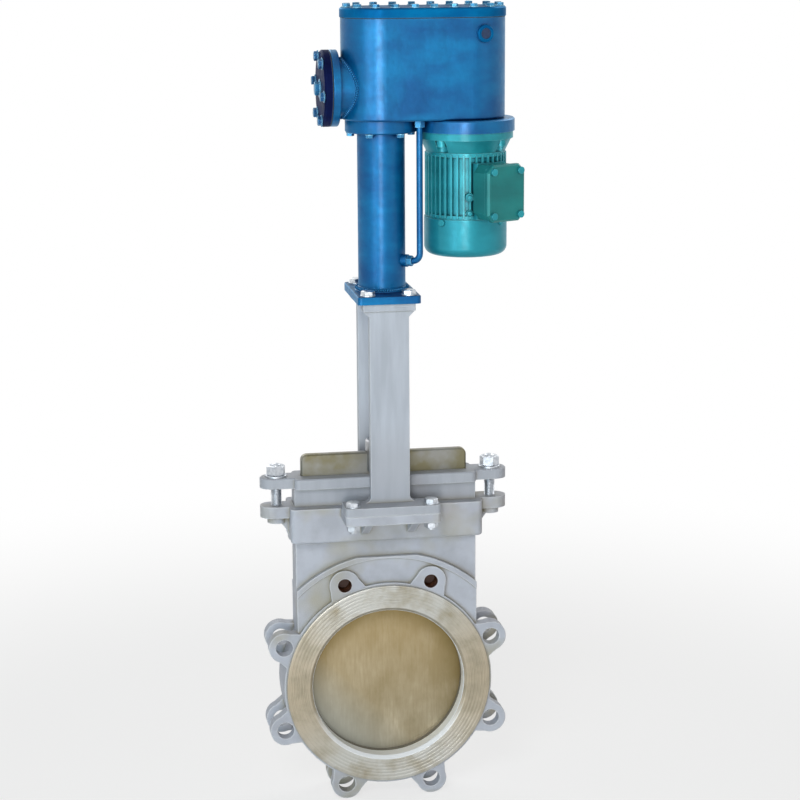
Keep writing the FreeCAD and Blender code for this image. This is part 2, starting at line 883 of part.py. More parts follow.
def rod_clevis():
    crown_bottom = gate_top + clevis_slot_gap
    round_bar = cylinder(clevis_radius, clevis_top - clevis_bottom, UP * clevis_bottom)
    round_bar = round_bar.makeChamfer(2, edges_at_height(round_bar, clevis_top)
                                      + edges_at_height(round_bar, clevis_bottom))
    slot_half = gate_half + guide_gap
    tools = [
        centred_slab(clevis_radius, slot_half, clevis_bottom, crown_bottom),
        cylinder(clevis_pin_radius + running_gap, 2 * clevis_radius,
                 Vector(0, -clevis_radius, clevis_pin_height), FLOW),
        cylinder(rod_spigot_radius + thread_gap, rod_spigot_length,
                 UP * (clevis_top - rod_spigot_length))]
    return cut_by(round_bar, tools)


def clevis_pin():
    """A headed pin held at its far end by a split pin through a cross hole."""
    near = clevis_radius + running_gap
    length = 2 * near + pin_tail
    at = Vector(0, -near, clevis_pin_height)
    shank = cylinder(clevis_pin_radius, length, at, FLOW)
    head = cylinder(pin_head_radius, pin_head_thickness, at, FLOW * -1)
    pin = fused([shank, head])
    return pin.cut(cylinder(split_pin_radius + running_gap, 4 * clevis_pin_radius,
                            Vector(-2 * clevis_pin_radius, near + pin_tail / 2, clevis_pin_height), RIGHT))


def split_pin():
    """The eye lies beside the pin, and its two legs are spread behind it."""
    y = clevis_radius + running_gap + pin_tail / 2
    reach = clevis_pin_radius + split_pin_radius + running_gap
    shank = cylinder(split_pin_radius, 2 * reach, Vector(-reach, y, clevis_pin_height), RIGHT)
    eye = Part.makeTorus(split_pin_radius * 1.8, split_pin_radius * 0.8,
                         Vector(-reach - split_pin_radius * 1.2, y, clevis_pin_height), FLOW)
    legs = cylinder(split_pin_radius * 0.8, split_pin_radius * 6,
                    Vector(reach, y, clevis_pin_height - split_pin_radius * 3))
    return fused([shank, eye, legs])


def piston_rod():
    low_end = clevis_top - rod_spigot_length + thread_gap
    return turned([
        (0, low_end), (rod_spigot_radius, low_end), (rod_spigot_radius, clevis_top), (rod_radius, clevis_top),
        (rod_radius, piston_start), (piston_spigot_radius, piston_start),
        (piston_spigot_radius, piston_end - 2), (piston_spigot_radius - 2, piston_end), (0, piston_end)])


def seal_groove_heights(start, length, count):
    """Evenly spaced grooves along a piston or a guide."""
    return [start + length * (step + 0.5) / count - seal_ring_height / 2 for step in range(count)]


def piston():
    radius = tube_inner_radius - piston_gap
    body = cylinder(radius, piston_length, UP * piston_start)
    body = body.makeChamfer(1, edges_at_height(body, piston_start) + edges_at_height(body, piston_end))
    tools = [cylinder(piston_spigot_radius + thread_gap, piston_length, UP * piston_start)]
    for low in seal_groove_heights(piston_start, piston_length, piston_seal_count):
        tools.append(ring(radius + 1, radius - seal_ring_depth, seal_ring_height, UP * low))
    return cut_by(body, tools)


def piston_seals():
    radius = tube_inner_radius - piston_gap
    rings = []
    for low in seal_groove_heights(piston_start, piston_length, piston_seal_count):
        rings.append(ring(tube_inner_radius - running_gap, radius - seal_ring_depth,
                          seal_ring_height, UP * low))
    return Part.makeCompound(rings)


# Cylinder barrel and what closes it

def port_direction():
    return Vector(pipe_x, pipe_y, 0).normalize()


def cylinder_barrel():
    """Tube, base plate, tank flange and port boss are welded into one piece."""
    plate = rounded_slab(plate_half_width, plate_half_depth, plate_bottom, plate_top, plate_corner)
    plate = plate.makeChamfer(1, edges_at_height(plate, plate_top))
    tube = cylinder(tube_outer_radius, tube_top - plate_bottom, UP * plate_bottom)
    weld = turned([(tube_inner_radius, plate_top), (tube_outer_radius + plate_weld, plate_top),
                   (tube_outer_radius, plate_top + plate_weld), (tube_inner_radius, plate_top + plate_weld)])
    flange_low = tank_bottom - flange_thickness
    flange = cylinder(flange_radius, flange_thickness, UP * flange_low)
    flange = flange.makeChamfer(1.5, edges_at_height(flange, flange_low))
    out = port_direction()
    boss_at = out * tube_inner_radius + UP * port_height
    boss_length = tube_outer_radius - tube_inner_radius + port_boss_reach
    boss = cylinder(port_boss_radius, boss_length, boss_at, out)
    solid = fused([plate, tube, weld, flange, boss])
    tools = [cylinder(tube_inner_radius, tube_top - plate_bottom, UP * plate_bottom),
             cylinder(pipe_radius + thread_gap, boss_length, boss_at + out * 3, out),
             cylinder(pipe_bore_radius, boss_length, boss_at - out * 3, out)]
    for at in circle_points(flange_bolt_count, flange_bolt_circle, UP * flange_low, flange_bolt_turn):
        tools.append(cylinder(m6_radius + thread_gap * 3, flange_thickness, at))
    for side in (-1, 1):
        for x in (-plate_screw_x, plate_screw_x):
            tools.append(cylinder(m10_hole_radius, plate_thickness,
                                  Vector(x, side * leg_middle_y, plate_bottom)))
    return cut_by(solid, tools)


def rod_guide():
    radius = tube_inner_radius - running_gap / 2
    bush = cylinder(radius, rod_guide_length, UP * guide_start)
    bush = bush.makeChamfer(1, edges_at_height(bush, guide_start))
    tools = [cylinder(rod_radius + running_gap, rod_guide_length, UP * guide_start)]
    for low in seal_groove_heights(guide_start, rod_guide_length, rod_seal_count):
        tools.append(cylinder(rod_radius + rod_seal_section, seal_ring_height, UP * low))
    return cut_by(bush, tools)


def rod_seals():
    rings = []
    for low in seal_groove_heights(guide_start, rod_guide_length, rod_seal_count):
        rings.append(ring(rod_radius + rod_seal_section, rod_radius + running_gap,
                          seal_ring_height, UP * low))
    return Part.makeCompound(rings)


def cylinder_end_cap():
    """A plug in the top of the tube with an oil port up its middle."""
    plug = cylinder(tube_inner_radius - running_gap / 2, end_cap_plug, UP * (tube_top - end_cap_plug))
    rim = hex_prism(2 * (tube_outer_radius + end_cap_overhang), end_cap_flange, UP * tube_top)
    cap = fused([plug, rim])
    return cut_by(cap, [
        cylinder(pipe_bore_radius, end_cap_plug + end_cap_flange,
                 Vector(0, cap_pipe_y, tube_top - end_cap_plug)),
        cylinder(pipe_radius + thread_gap, end_cap_flange / 2,
                 Vector(0, cap_pipe_y, tube_top + end_cap_flange / 2))])


def oil_pipe():
    """From the tank floor down beside the tube, then in to the port of the rod side."""
    out = port_direction()
    foot = Vector(pipe_x, pipe_y, port_height)
    end = out * (tube_inner_radius + 3) + UP * port_height
    top = Vector(pipe_x, pipe_y, tank_bottom + tank_floor / 2)
    return bent_tube([top, foot, end], pipe_radius, pipe_bore_radius, pipe_bend)


def pipe_union_nuts():
    out = port_direction()
    boss_end = out * (tube_outer_radius + port_boss_reach) + UP * port_height
    hole = pipe_radius + thread_gap
    lower_length = Vector(pipe_x, pipe_y, 0).Length - pipe_bend - tube_outer_radius - port_boss_reach
    upper = hex_nut(union_flats, union_length, hole, Vector(pipe_x, pipe_y, tank_bottom), UP * -1)
    lower = hex_nut(union_flats, max(lower_length, union_length * 0.5), hole, boss_end, out)
    return Part.makeCompound([upper, lower])


# Oil tank

def lid_bolt_places(z):
    """Evenly spaced along a line inside the stadium's edge, from its middle front."""
    radius = tank_radius - lid_bolt_inset
    straight = motor_x
    around = 2 * straight + 2 * math.pi * radius
    places = []
    for step in range(lid_bolt_count):
        way = around * (step + 0.5) / lid_bolt_count
        if way < straight:
            places.append(Vector(way, -radius, z))
        elif way < straight + math.pi * radius:
            turn = (way - straight) / radius
            places.append(Vector(motor_x + radius * math.sin(turn), -radius * math.cos(turn), z))
        elif way < 2 * straight + math.pi * radius:
            places.append(Vector(straight - (way - straight - math.pi * radius), radius, z))
        else:
            turn = (way - 2 * straight - math.pi * radius) / radius
            places.append(Vector(-radius * math.sin(turn), radius * math.cos(turn), z))
    return places


def side_bolt_places(x):
    places = []
    for step in range(side_bolt_count):
        angle = math.radians(side_bolt_turn + 360.0 * step / side_bolt_count)
        places.append(Vector(x, side_bolt_circle * math.sin(angle),
                             side_height + side_bolt_circle * math.cos(angle)))
    return places


def glass_direction():
    turn = math.radians(glass_turn)
    return Vector(math.sin(turn), -math.cos(turn), 0)


def glass_seat():
    return Vector(motor_x, 0, glass_height) + glass_direction() * glass_seat_radius


def tank_shell():
    left = RIGHT * -1
    side = Vector(0, 0, side_height)
    body = stadium(tank_radius, tank_bottom, tank_top)
    body = body.makeFillet(3, edges_at_height(body, tank_bottom))
    neck = cylinder(neck_radius, side_flange_face, side, left)
    flange = cylinder(side_flange_radius, side_flange_thickness,
                      side + left * (side_flange_face - side_flange_thickness), left)
    flange = flange.makeFillet(1.5, flange.Edges[:1] + flange.Edges[2:])
    spot = cylinder(glass_flange_radius, glass_seat_radius,
                    Vector(motor_x, 0, glass_height), glass_direction())
    shell = fused([body, neck, flange, spot])
    wall_depth = side_flange_face
    tools = [
        stadium(tank_inner_radius, tank_inside_bottom, tank_top),
        cylinder(neck_bore_radius, wall_depth, side, left),
        cylinder(glass_thread_radius, glass_seat_radius, Vector(motor_x, 0, glass_height), glass_direction()),
        cylinder(tube_outer_radius + running_gap, tank_floor, UP * tank_bottom),
        cylinder(pipe_radius + thread_gap, tank_floor, Vector(pipe_x, pipe_y, tank_bottom)),
        cylinder(coupling_radius + 2, coupling_lift + 1, Vector(motor_x, 0, tank_bottom)),
        cylinder(gear_shaft_radius + 2, tank_floor, Vector(motor_x, 0, tank_bottom)),
        cylinder(seal_radius, seal_height + 0.5, Vector(motor_x, 0, tank_inside_bottom - seal_height - 0.5))]
    hole = m6_radius + thread_gap
    for at in lid_bolt_places(tank_top - m6_depth):
        tools.append(cylinder(hole, m6_depth, at))
    for at in circle_points(flange_bolt_count, flange_bolt_circle, UP * tank_bottom, flange_bolt_turn):
        tools.append(cylinder(hole, m6_depth, at))
    for at in side_bolt_places(-side_flange_face):
        tools.append(cylinder(m8_radius + thread_gap, m8_depth, at, RIGHT))
    for at in circle_points(4, adapter_screw_circle, Vector(motor_x, 0, tank_bottom), 45):
        tools.append(cylinder(m8_radius + thread_gap, m8_depth, at))
    return cut_by(shell, tools)


def tank_gasket():
    outer = stadium(tank_radius, tank_top, lid_bottom)
    tools = [stadium(tank_inner_radius, tank_top, lid_bottom)]
    for at in lid_bolt_places(tank_top):
        tools.append(cylinder(m6_radius + thread_gap * 3, gasket_thickness, at))
    return cut_by(outer, tools)


def tank_lid():
    lid = stadium(tank_radius + lid_overhang, lid_bottom, lid_top)
    lid = lid.makeChamfer(lid_edge_bevel, edges_at_height(lid, lid_top))
    tools = []
    for at in lid_bolt_places(lid_bottom):
        tools.append(cylinder(m6_radius + thread_gap * 3, lid_thickness, at))
    return cut_by(lid, tools)


def tank_bolts():
    """The same bolts hold the lid down and the cylinder's flange up against the floor."""
    bolts = []
    for at in lid_bolt_places(lid_top):
        bolts.append(hex_bolt(m6_flats, m6_head_height, m6_radius, m6_length, at))
    flange_low = UP * (tank_bottom - flange_thickness)
    for at in circle_points(flange_bolt_count, flange_bolt_circle, flange_low, flange_bolt_turn):
        bolts.append(hex_bolt(m6_flats, m6_head_height, m6_radius, m6_length, at, UP * -1))
    return Part.makeCompound(bolts)


def side_cover_gasket():
    left = RIGHT * -1
    at = Vector(-side_flange_face, 0, side_height)
    gasket = ring(side_flange_radius, neck_bore_radius, gasket_thickness, at, left)
    tools = [cylinder(m8_radius + thread_gap * 3, gasket_thickness, place, left)
             for place in side_bolt_places(-side_flange_face)]
    return cut_by(gasket, tools)


def side_cover():
    left = RIGHT * -1
    thick = side_cover_thickness
    bevel = side_cover_bevel
    centre = Vector(-cover_inner, 0, side_height)
    plate = turned([
        (side_plug_radius, 0), (side_flange_radius, 0), (side_flange_radius, thick - bevel),
        (side_flange_radius - bevel, thick), (side_plug_radius, thick)], centre, left)
    tools = [cylinder(m8_radius + thread_gap * 3, thick, place, left)
             for place in side_bolt_places(-cover_inner)]
    return cut_by(plate, tools)


def side_cover_bolts():
    left = RIGHT * -1
    bolts = []
    length = side_cover_thickness + gasket_thickness + m8_depth - 1
    for at in side_bolt_places(-cover_outer):
        bolts.append(hex_bolt(m8_flats, m8_head_height, m8_radius, length, at, left))
    return Part.makeCompound(bolts)


def side_cover_plug():
    at = Vector(-cover_outer, 0, side_height)
    return hex_bolt(side_plug_flats, side_plug_height, side_plug_radius - thread_gap,
                    side_cover_thickness, at, RIGHT * -1)


def level_glass():
    out = glass_direction()
    seat = glass_seat()
    depth = glass_seat_radius - tank_inner_radius
    body = turned([
        (glass_lens_radius - 1.5, -depth), (glass_thread_radius - thread_gap, -depth),
        (glass_thread_radius - thread_gap, 0), (glass_flange_radius, 0),
        (glass_flange_radius, glass_flange_thickness - 1), (glass_flange_radius - 1, glass_flange_thickness),
        (glass_lens_radius + 0.5, glass_flange_thickness), (glass_lens_radius, glass_flange_thickness - 1),
        (glass_lens_radius, 0.5), (glass_lens_radius - 1.5, 0.5)], seat, out)
    lens_low = seat + out * 0.5
    lens = cylinder(glass_lens_radius, glass_lens_thickness - 0.5, lens_low, out)
    return body, lens


# Pieces inside the tank

def valve_block():
    """A drilled block on the tank floor that joins the pump to both ends of the cylinder."""
    low = tank_inside_bottom
    high = low + block_height
    block = rounded_slab(block_half_width, block_half_depth, low, high, 2, block_x)
    block = block.cut(stadium_rest())
    tools = [
        cylinder(pipe_bore_radius, block_height, Vector(pipe_x, pipe_y, low)),
        cylinder(pipe_radius + thread_gap, block_height / 4,
                 Vector(block_x, cap_pipe_y, high - block_height / 4))]
    return cut_by(block, tools)


def stadium_rest():
    """What lies outside the tank's inner wall, so that pieces keep clear of it."""
    low = tank_inside_bottom
    big = centred_slab(2 * motor_x, tank_radius, low, tank_top, motor_x / 2)
    return big.cut(stadium(tank_inner_radius - loose_gap, low, tank_top))


def cap_side_pipe():
    high = tube_top + end_cap_flange + cap_pipe_rise
    start = Vector(block_x, cap_pipe_y, tank_inside_bottom + block_height * 0.75 + thread_gap)
    end = Vector(0, cap_pipe_y, tube_top + end_cap_flange / 2 + thread_gap)
    points = [start, Vector(block_x, cap_pipe_y, high), Vector(0, cap_pipe_y, high), end]
    return bent_tube(points, pipe_radius, pipe_bore_radius, cap_pipe_bend)


def gear_places():
    drive = Vector(motor_x, 0, 0)
    return drive, drive - RIGHT * gear_distance


def pump_outline(radius, z0, z1):
    drive, idler = gear_places()
    joined = stadium_face(radius, gear_distance, z0).extrude(Vector(0, 0, z1 - z0))
    joined.translate(idler)
    return joined


def pump_housing():
    drive, idler = gear_places()
    low = tank_inside_bottom
    body = pump_outline(pump_radius, low, chamber_top)
    chamber = gear_tip_radius + gear_tip_gap
    tools = [
        cylinder(chamber, gear_width, drive + UP * chamber_bottom),
        cylinder(chamber, gear_width, idler + UP * chamber_bottom),
        cylinder(gear_shaft_radius + running_gap, pump_floor, drive + UP * low),
        cylinder(gear_shaft_radius + running_gap, pump_floor - 3, idler + UP * (low + 3)),
        cylinder(pipe_radius, 2 * pump_radius,
                 idler + RIGHT * (gear_distance / 2) + UP * (chamber_bottom + gear_width / 2), FLOW)]
    return cut_by(body, tools)


def pump_cover():
    drive, idler = gear_places()
    cover = pump_outline(pump_radius, chamber_top, pump_top)
    cover = cover.makeChamfer(1.5, edges_at_height(cover, pump_top))
    blind = pump_cover_thickness - 3
    return cut_by(cover, [
        cylinder(gear_shaft_radius + running_gap, blind, drive + UP * chamber_top),
        cylinder(gear_shaft_radius + running_gap, blind, idler + UP * chamber_top)])


def involute_point(base, radius):
    """Polar angle of the involute of this base circle where it reaches the radius."""
    roll = math.sqrt((radius / base) ** 2 - 1)
    return roll - math.atan(roll)


def gear_solid(centre, low, height, turn):
    """A spur gear with involute flanks above the base circle and radial ones below it."""
    pitch = gear_pitch_radius
    base = pitch * math.cos(math.radians(pressure_angle))
    root = pitch - 1.25 * gear_module
    tip = gear_tip_radius
    half_tooth = math.pi / (2 * gear_teeth) - gear_backlash / (2 * pitch)
    at_pitch = involute_point(base, pitch)
    steps = 4
    flank = []
    for step in range(steps + 1):
        radius = base + (tip - base) * step / steps
        flank.append((radius, half_tooth + at_pitch - involute_point(base, radius)))
    outline = []
    for tooth in range(gear_teeth):
        middle = 2 * math.pi * tooth / gear_teeth + math.radians(turn)
        outline.append((root, middle - flank[0][1]))
        outline += [(radius, middle - angle) for radius, angle in flank]
        outline += [(radius, middle + angle) for radius, angle in reversed(flank)]
        outline.append((root, middle + flank[0][1]))
    points = [centre + Vector(radius * math.cos(angle), radius * math.sin(angle), low)
              for radius, angle in outline]
    return extruded(points, Vector(0, 0, height))


def pump_drive_gear():
    drive, idler = gear_places()
    low = chamber_bottom + gear_side_gap
    gear = gear_solid(drive, low, gear_width - 2 * gear_side_gap, gear_phase)
    bottom = (coupling_top + coupling_bottom) / 2 + loose_gap
    top = chamber_top + pump_cover_thickness - 3 - loose_gap
    shaft = cylinder(gear_shaft_radius, top - bottom, drive + UP * bottom)
    return fused([gear, shaft])


def pump_idler_gear():
    """Turned by half a tooth, so that its teeth lie in the drive gear's spaces."""
    drive, idler = gear_places()
    low = chamber_bottom + gear_side_gap
    turn = 180.0 / gear_teeth * (1 + gear_teeth % 2) - gear_phase
    gear = gear_solid(idler, low, gear_width - 2 * gear_side_gap, turn)
    bottom = tank_inside_bottom + 3 + loose_gap
    top = chamber_top + pump_cover_thickness - 3 - loose_gap
    shaft = cylinder(gear_shaft_radius, top - bottom, idler + UP * bottom)
    return fused([gear, shaft])


def suction_strainer():
    """A ribbed mesh can beside the pump, its neck in the pump's side."""
    x = motor_x + pump_radius + strainer_gap + strainer_radius
    low = tank_inside_bottom + strainer_gap
    can = cylinder(strainer_radius, strainer_length, Vector(x, 0, low))
    waists = [ring(strainer_radius, strainer_radius - 0.8, 4, Vector(x, 0, low + 5 + 8 * step))
              for step in range(4)]
    can = cut_by(can, waists)
    neck = cylinder(pipe_radius, strainer_gap + strainer_radius,
                    Vector(motor_x + pump_radius, 0, chamber_bottom + gear_width / 2), RIGHT)
    return fused([can, neck])


# Coupling and adapter

def shaft_coupling():
    at = Vector(motor_x, 0, 0)
    body = cylinder(coupling_radius, coupling_length, at + UP * coupling_bottom)
    body = body.makeChamfer(1, edges_at_height(body, coupling_bottom) + edges_at_height(body, coupling_top))
    half = coupling_length / 2
    return cut_by(body, [
        cylinder(shaft_radius + thread_gap / 2, half, at + UP * coupling_bottom),
        cylinder(gear_shaft_radius + thread_gap / 2, half, at + UP * (coupling_bottom + half))])


def shaft_seal():
    return ring(seal_radius - thread_gap / 2, gear_shaft_radius + running_gap, seal_height,
                Vector(motor_x, 0, tank_inside_bottom - seal_height))


def motor_adapter():
    at = Vector(motor_x, 0, 0)
    plate = cylinder(adapter_radius, adapter_thickness, at + UP * adapter_bottom)
    plate = plate.makeChamfer(1.5, edges_at_height(plate, tank_bottom))
    tools = [cylinder(adapter_bore, adapter_thickness, at + UP * adapter_bottom)]
    for place in circle_points(4, adapter_screw_circle, at + UP * adapter_bottom, 45):
        tools.append(cylinder(m8_socket_radius + loose_gap, m8_socket_height + 0.5, place))
        tools.append(cylinder(m8_radius + thread_gap * 3, adapter_thickness, place))
    for place in circle_points(4, flange_screw_circle, at + UP * adapter_bottom, 45):
        tools.append(cylinder(m8_radius + thread_gap, m8_screw_length, place))
    return cut_by(plate, tools)


def motor_mount_screws():
    """Four hold the adapter under the tank, and four hold the motor under the adapter."""
    at = Vector(motor_x, 0, 0)
    screws = []
    shank = adapter_thickness - m8_socket_height - 0.5 + m8_depth - 1
    centre = at + UP * (adapter_bottom + m8_socket_height + 0.5)
    for place in circle_points(4, adapter_screw_circle, centre, 45):
        screws.append(socket_screw(place, UP * -1, shank, m8_radius, m8_socket_radius, m8_socket_height))
    low = adapter_bottom - shield_flange_thickness
    for place in circle_points(4, flange_screw_circle, at + UP * low, 45):
        screws.append(socket_screw(place, UP * -1, shield_flange_thickness + m8_screw_length - 1,
                                   m8_radius, m8_socket_radius, m8_socket_height))
    return Part.makeCompound(screws)


# Motor

def front_end_shield():
    """Flange on top, then a cone with pockets for the flange screws and the front bearing seat."""
    at = Vector(motor_x, 0, 0)
    flange_low = adapter_bottom - shield_flange_thickness
    seat_low = shield_bottom - spigot_depth
    shell = turned([
        (shaft_shoulder_radius + 1, adapter_bottom), (adapter_radius - 2, adapter_bottom),
        (adapter_radius - 2, flange_low), (shield_top_radius, flange_low),
        (shield_bottom_radius, shield_bottom), (frame_inner_radius - thread_gap, shield_bottom),
        (frame_inner_radius - thread_gap, seat_low), (frame_inner_radius - 4, seat_low),
        (frame_inner_radius - 4, shield_bottom + 4), (bearing_radius + 5, shield_bottom + 4),
        (bearing_radius + 5, seat_low), (bearing_radius + thread_gap / 2, seat_low),
        (bearing_radius + thread_gap / 2, seat_low + bearing_width),
        (shaft_shoulder_radius + 1, seat_low + bearing_width)], at)
    tools = []
    for place in circle_points(4, flange_screw_circle, at + UP * shield_bottom, 45):
        tools.append(cylinder(m8_socket_radius + 1.5, shield_height, place))
        tools.append(cylinder(m8_radius + thread_gap * 3, shield_height + shield_flange_thickness, place))
    return cut_by(shell, tools)


def terminal_frame(shape):
    """Turns a shape made facing -Y at the origin to the terminal box's side of the motor."""
    turned_shape = shape.copy()
    turned_shape.rotate(ORIGIN, UP, terminal_turn)
    turned_shape.translate(Vector(motor_x, 0, 0))
    return turned_shape


def motor_frame():
    at = Vector(motor_x, 0, 0)
    body = cylinder(frame_radius, frame_length, at + UP * frame_bottom)
    fins = []
    for step in range(fin_count):
        angle = 360.0 * (step + 0.5) / fin_count
        fin = slab(frame_radius - 1, fin_reach, -fin_thickness / 2, fin_thickness / 2,
                   frame_bottom + 2, shield_bottom - 2)
        fin.rotate(ORIGIN, UP, angle)
        fin.translate(at)
        fins.append(fin)
    end_rings = [cylinder(fin_reach - 1, 5, at + UP * frame_bottom),
                 cylinder(fin_reach - 1, 5, at + UP * (shield_bottom - 5))]
    pad_low = terminal_bottom - 1
    pad_high = terminal_bottom + terminal_height + 1
    pad = slab(-pad_half_width, pad_half_width, -box_back, -frame_radius * 0.6, pad_low, pad_high)
    solid = fused([body] + end_rings + fins + [terminal_frame(pad)])
    window_half = pad_half_width - window_side_margin
    window = slab(-window_half, window_half, -box_back - 1, -frame_inner_radius * 0.5,
                  terminal_bottom + window_end_margin, terminal_bottom + terminal_height - window_end_margin)
    stator = cylinder(frame_inner_radius, frame_length, at + UP * frame_bottom)
    return cut_by(solid, [stator, terminal_frame(window)])


def stator_core():
    return ring(frame_inner_radius - thread_gap / 2, stator_inner_radius, stator_length,
                Vector(motor_x, 0, stator_bottom))


def stator_windings():
    """Round-shouldered coil heads above and below the core."""
    at = Vector(motor_x, 0, 0)
    inner = stator_inner_radius + winding_inset
    outer = frame_inner_radius - winding_inset
    heads = []
    for low, up in ((stator_top, 1), (stator_bottom, -1)):
        heads.append(turned([
            (inner, low), (outer, low), (outer, low + up * (winding_height - 3)),
            (outer - 3, low + up * winding_height), (inner + 3, low + up * winding_height),
            (inner, low + up * (winding_height - 3))], at))
    return Part.makeCompound(heads)


def rotor_shaft():
    top = (coupling_top + coupling_bottom) / 2 - loose_gap
    bottom = rear_shield_bottom - fan_clearance - fan_height
    lower_seat = frame_bottom + spigot_depth
    upper_seat = shield_bottom - spigot_depth
    return turned([
        (0, bottom), (shaft_radius - 1, bottom), (shaft_radius, bottom + 1), (shaft_radius, lower_seat),
        (shaft_shoulder_radius, lower_seat), (shaft_shoulder_radius, upper_seat),
        (shaft_radius, upper_seat), (shaft_radius, top - 1), (shaft_radius - 1, top), (0, top)],
        Vector(motor_x, 0, 0))


def rotor_core():
    """Laminated stack with a short-circuit ring and small blades at each end."""
    at = Vector(motor_x, 0, 0)
    low = shaft_shoulder_radius + thread_gap / 2
    ring_height = 6
    core = turned([
        (low, stator_bottom), (rotor_radius - 4, stator_bottom - ring_height),
        (rotor_radius - 1, stator_bottom - ring_height), (rotor_radius, stator_bottom),
        (rotor_radius, stator_top), (rotor_radius - 1, stator_top + ring_height),
        (rotor_radius - 4, stator_top + ring_height), (low, stator_top)], at)
    return core


def motor_bearings():
    at = Vector(motor_x, 0, 0)
    rings = []
    for low in (frame_bottom + spigot_depth - bearing_width, shield_bottom - spigot_depth):
        inner = shaft_radius + thread_gap / 2
        outer = bearing_radius
        middle = (inner + outer) / 2
        shape = ring(outer, inner, bearing_width, at + UP * low)
        groove = ring(middle + 2, middle - 2, 1, at + UP * low)
        upper = ring(middle + 2, middle - 2, 1, at + UP * (low + bearing_width - 1))
        rings.append(cut_by(shape, [groove, upper]))
    return Part.makeCompound(rings)


def rear_end_shield():
    at = Vector(motor_x, 0, 0)
    spigot = frame_inner_radius - thread_gap
    seat = bearing_radius + thread_gap / 2
    bearing_low = frame_bottom + spigot_depth - bearing_width
    shield = turned([
        (shaft_shoulder_radius, rear_shield_bottom), (fin_reach - 1, rear_shield_bottom),
        (fin_reach - 1, frame_bottom), (spigot, frame_bottom), (spigot, frame_bottom + spigot_depth),
        (spigot - 4, frame_bottom + spigot_depth), (spigot - 4, rear_shield_bottom + 4),
        (seat + 5, rear_shield_bottom + 4), (seat + 5, frame_bottom + spigot_depth),
        (seat, frame_bottom + spigot_depth), (seat, bearing_low), (shaft_shoulder_radius, bearing_low)], at)
    holes = []
    for centre, out in cowl_screw_places():
        holes.append(cylinder(m5_radius + thread_gap, m5_depth, centre + out * (cowl_radius - m5_depth), out))
    return cut_by(shield, holes)


def cooling_fan():
    at = Vector(motor_x, 0, 0)
    top = rear_shield_bottom - fan_clearance
    low = top - fan_height
    hub = ring(fan_hub_radius, shaft_radius + thread_gap / 2, fan_height, at + UP * low)
    disc = ring(fan_radius, shaft_radius + thread_gap / 2, fan_disc, at + UP * (top - fan_disc))
    blades = []
    for step in range(fan_blades):
        blade = slab(fan_hub_radius - 1, fan_radius - 1, -1, 1, low + 1, top - fan_disc / 2)
        slope = extruded([
            Vector(fan_hub_radius - 1, -2, low), Vector(fan_radius * 0.55, -2, low),
            Vector(fan_radius, -2, low + fan_height * 0.45), Vector(fan_radius, -2, top),
            Vector(fan_hub_radius - 1, -2, top)], Vector(0, 4, 0))
        blade = blade.common(slope)
        blade.rotate(ORIGIN, UP, 360.0 * step / fan_blades)
        blade.translate(at)
        blades.append(blade)
    return fused([hub, disc] + blades)


def fan_cowl():
    """A drawn sheet cup with a round lower edge and rings of slots in its bottom."""
    at = Vector(motor_x, 0, 0)
    top = frame_bottom
    cup = cylinder(cowl_radius, top - cowl_bottom, at + UP * cowl_bottom)
    cup = cup.makeFillet(cowl_rounding, edges_at_height(cup, cowl_bottom))
    inside = cylinder(cowl_radius - cowl_wall, top - cowl_bottom, at + UP * (cowl_bottom + cowl_wall))
    inside = inside.makeFillet(cowl_rounding - cowl_wall, edges_at_height(inside, cowl_bottom + cowl_wall))
    shell = cup.cut(inside)
    spokes = []
    for step in range(grille_spokes):
        spoke = centred_slab(cowl_radius, grille_web / 2, cowl_bottom - 1, cowl_bottom + cowl_wall + 1)
        spoke.rotate(ORIGIN, UP, 180.0 * step / grille_spokes)
        spoke.translate(at)
        spokes.append(spoke)
    slots = []
    for step in range(grille_rings):
        inner = grille_hub + step * (grille_slot + grille_web)
        slots.append(ring(inner + grille_slot, inner, cowl_wall + 2, at + UP * (cowl_bottom - 1)))
    open_slots = Part.makeCompound(slots).cut(fused(spokes))
    holes = [cylinder(m5_radius + thread_gap, cowl_radius, at, out) for at, out in cowl_screw_places()]
    return cut_by(shell, [open_slots] + holes)


def cowl_screw_places():
    """Centre line points and outward directions of the screws in the cowl's side."""
    places = []
    height = frame_bottom - rear_shield_thickness / 2
    for step in range(4):
        angle = math.radians(45 + 90 * step)
        places.append((Vector(motor_x, 0, height), Vector(math.cos(angle), math.sin(angle), 0)))
    return places


def motor_small_screws():
    """Four through the cowl's side into the rear shield, and four in the terminal box's lid."""
    screws = []
    for centre, out in cowl_screw_places():
        at = centre + out * cowl_radius
        head = cylinder(m5_head_radius, m5_head_height, at, out)
        head = head.makeFillet(1.2, [edge for edge in head.Edges
                                     if (edge.CenterOfMass - at).dot(out) > m5_head_height * 0.9
                                     and edge.Curve.TypeId == "Part::GeomCircle"])
        screws.append(head.fuse(cylinder(m5_radius, m5_depth, at - out * m5_depth, out)))
    for x, z in lid_screw_places():
        at = Vector(x, -box_face, z)
        head = cylinder(m5_head_radius, m5_head_height, at, FLOW * -1)
        shank = cylinder(m5_radius, terminal_lid_thickness + m5_depth - 1, at, FLOW)
        screws.append(terminal_frame(head.fuse(shank)))
    return Part.makeCompound(screws)


def lid_screw_places():
    half_x = terminal_half_width - terminal_corner_cut * 0.75
    middle = terminal_bottom + terminal_height / 2
    half_z = terminal_height / 2 - terminal_corner_cut * 0.75
    return [(side * half_x, middle + up * half_z) for side in (-1, 1) for up in (-1, 1)]


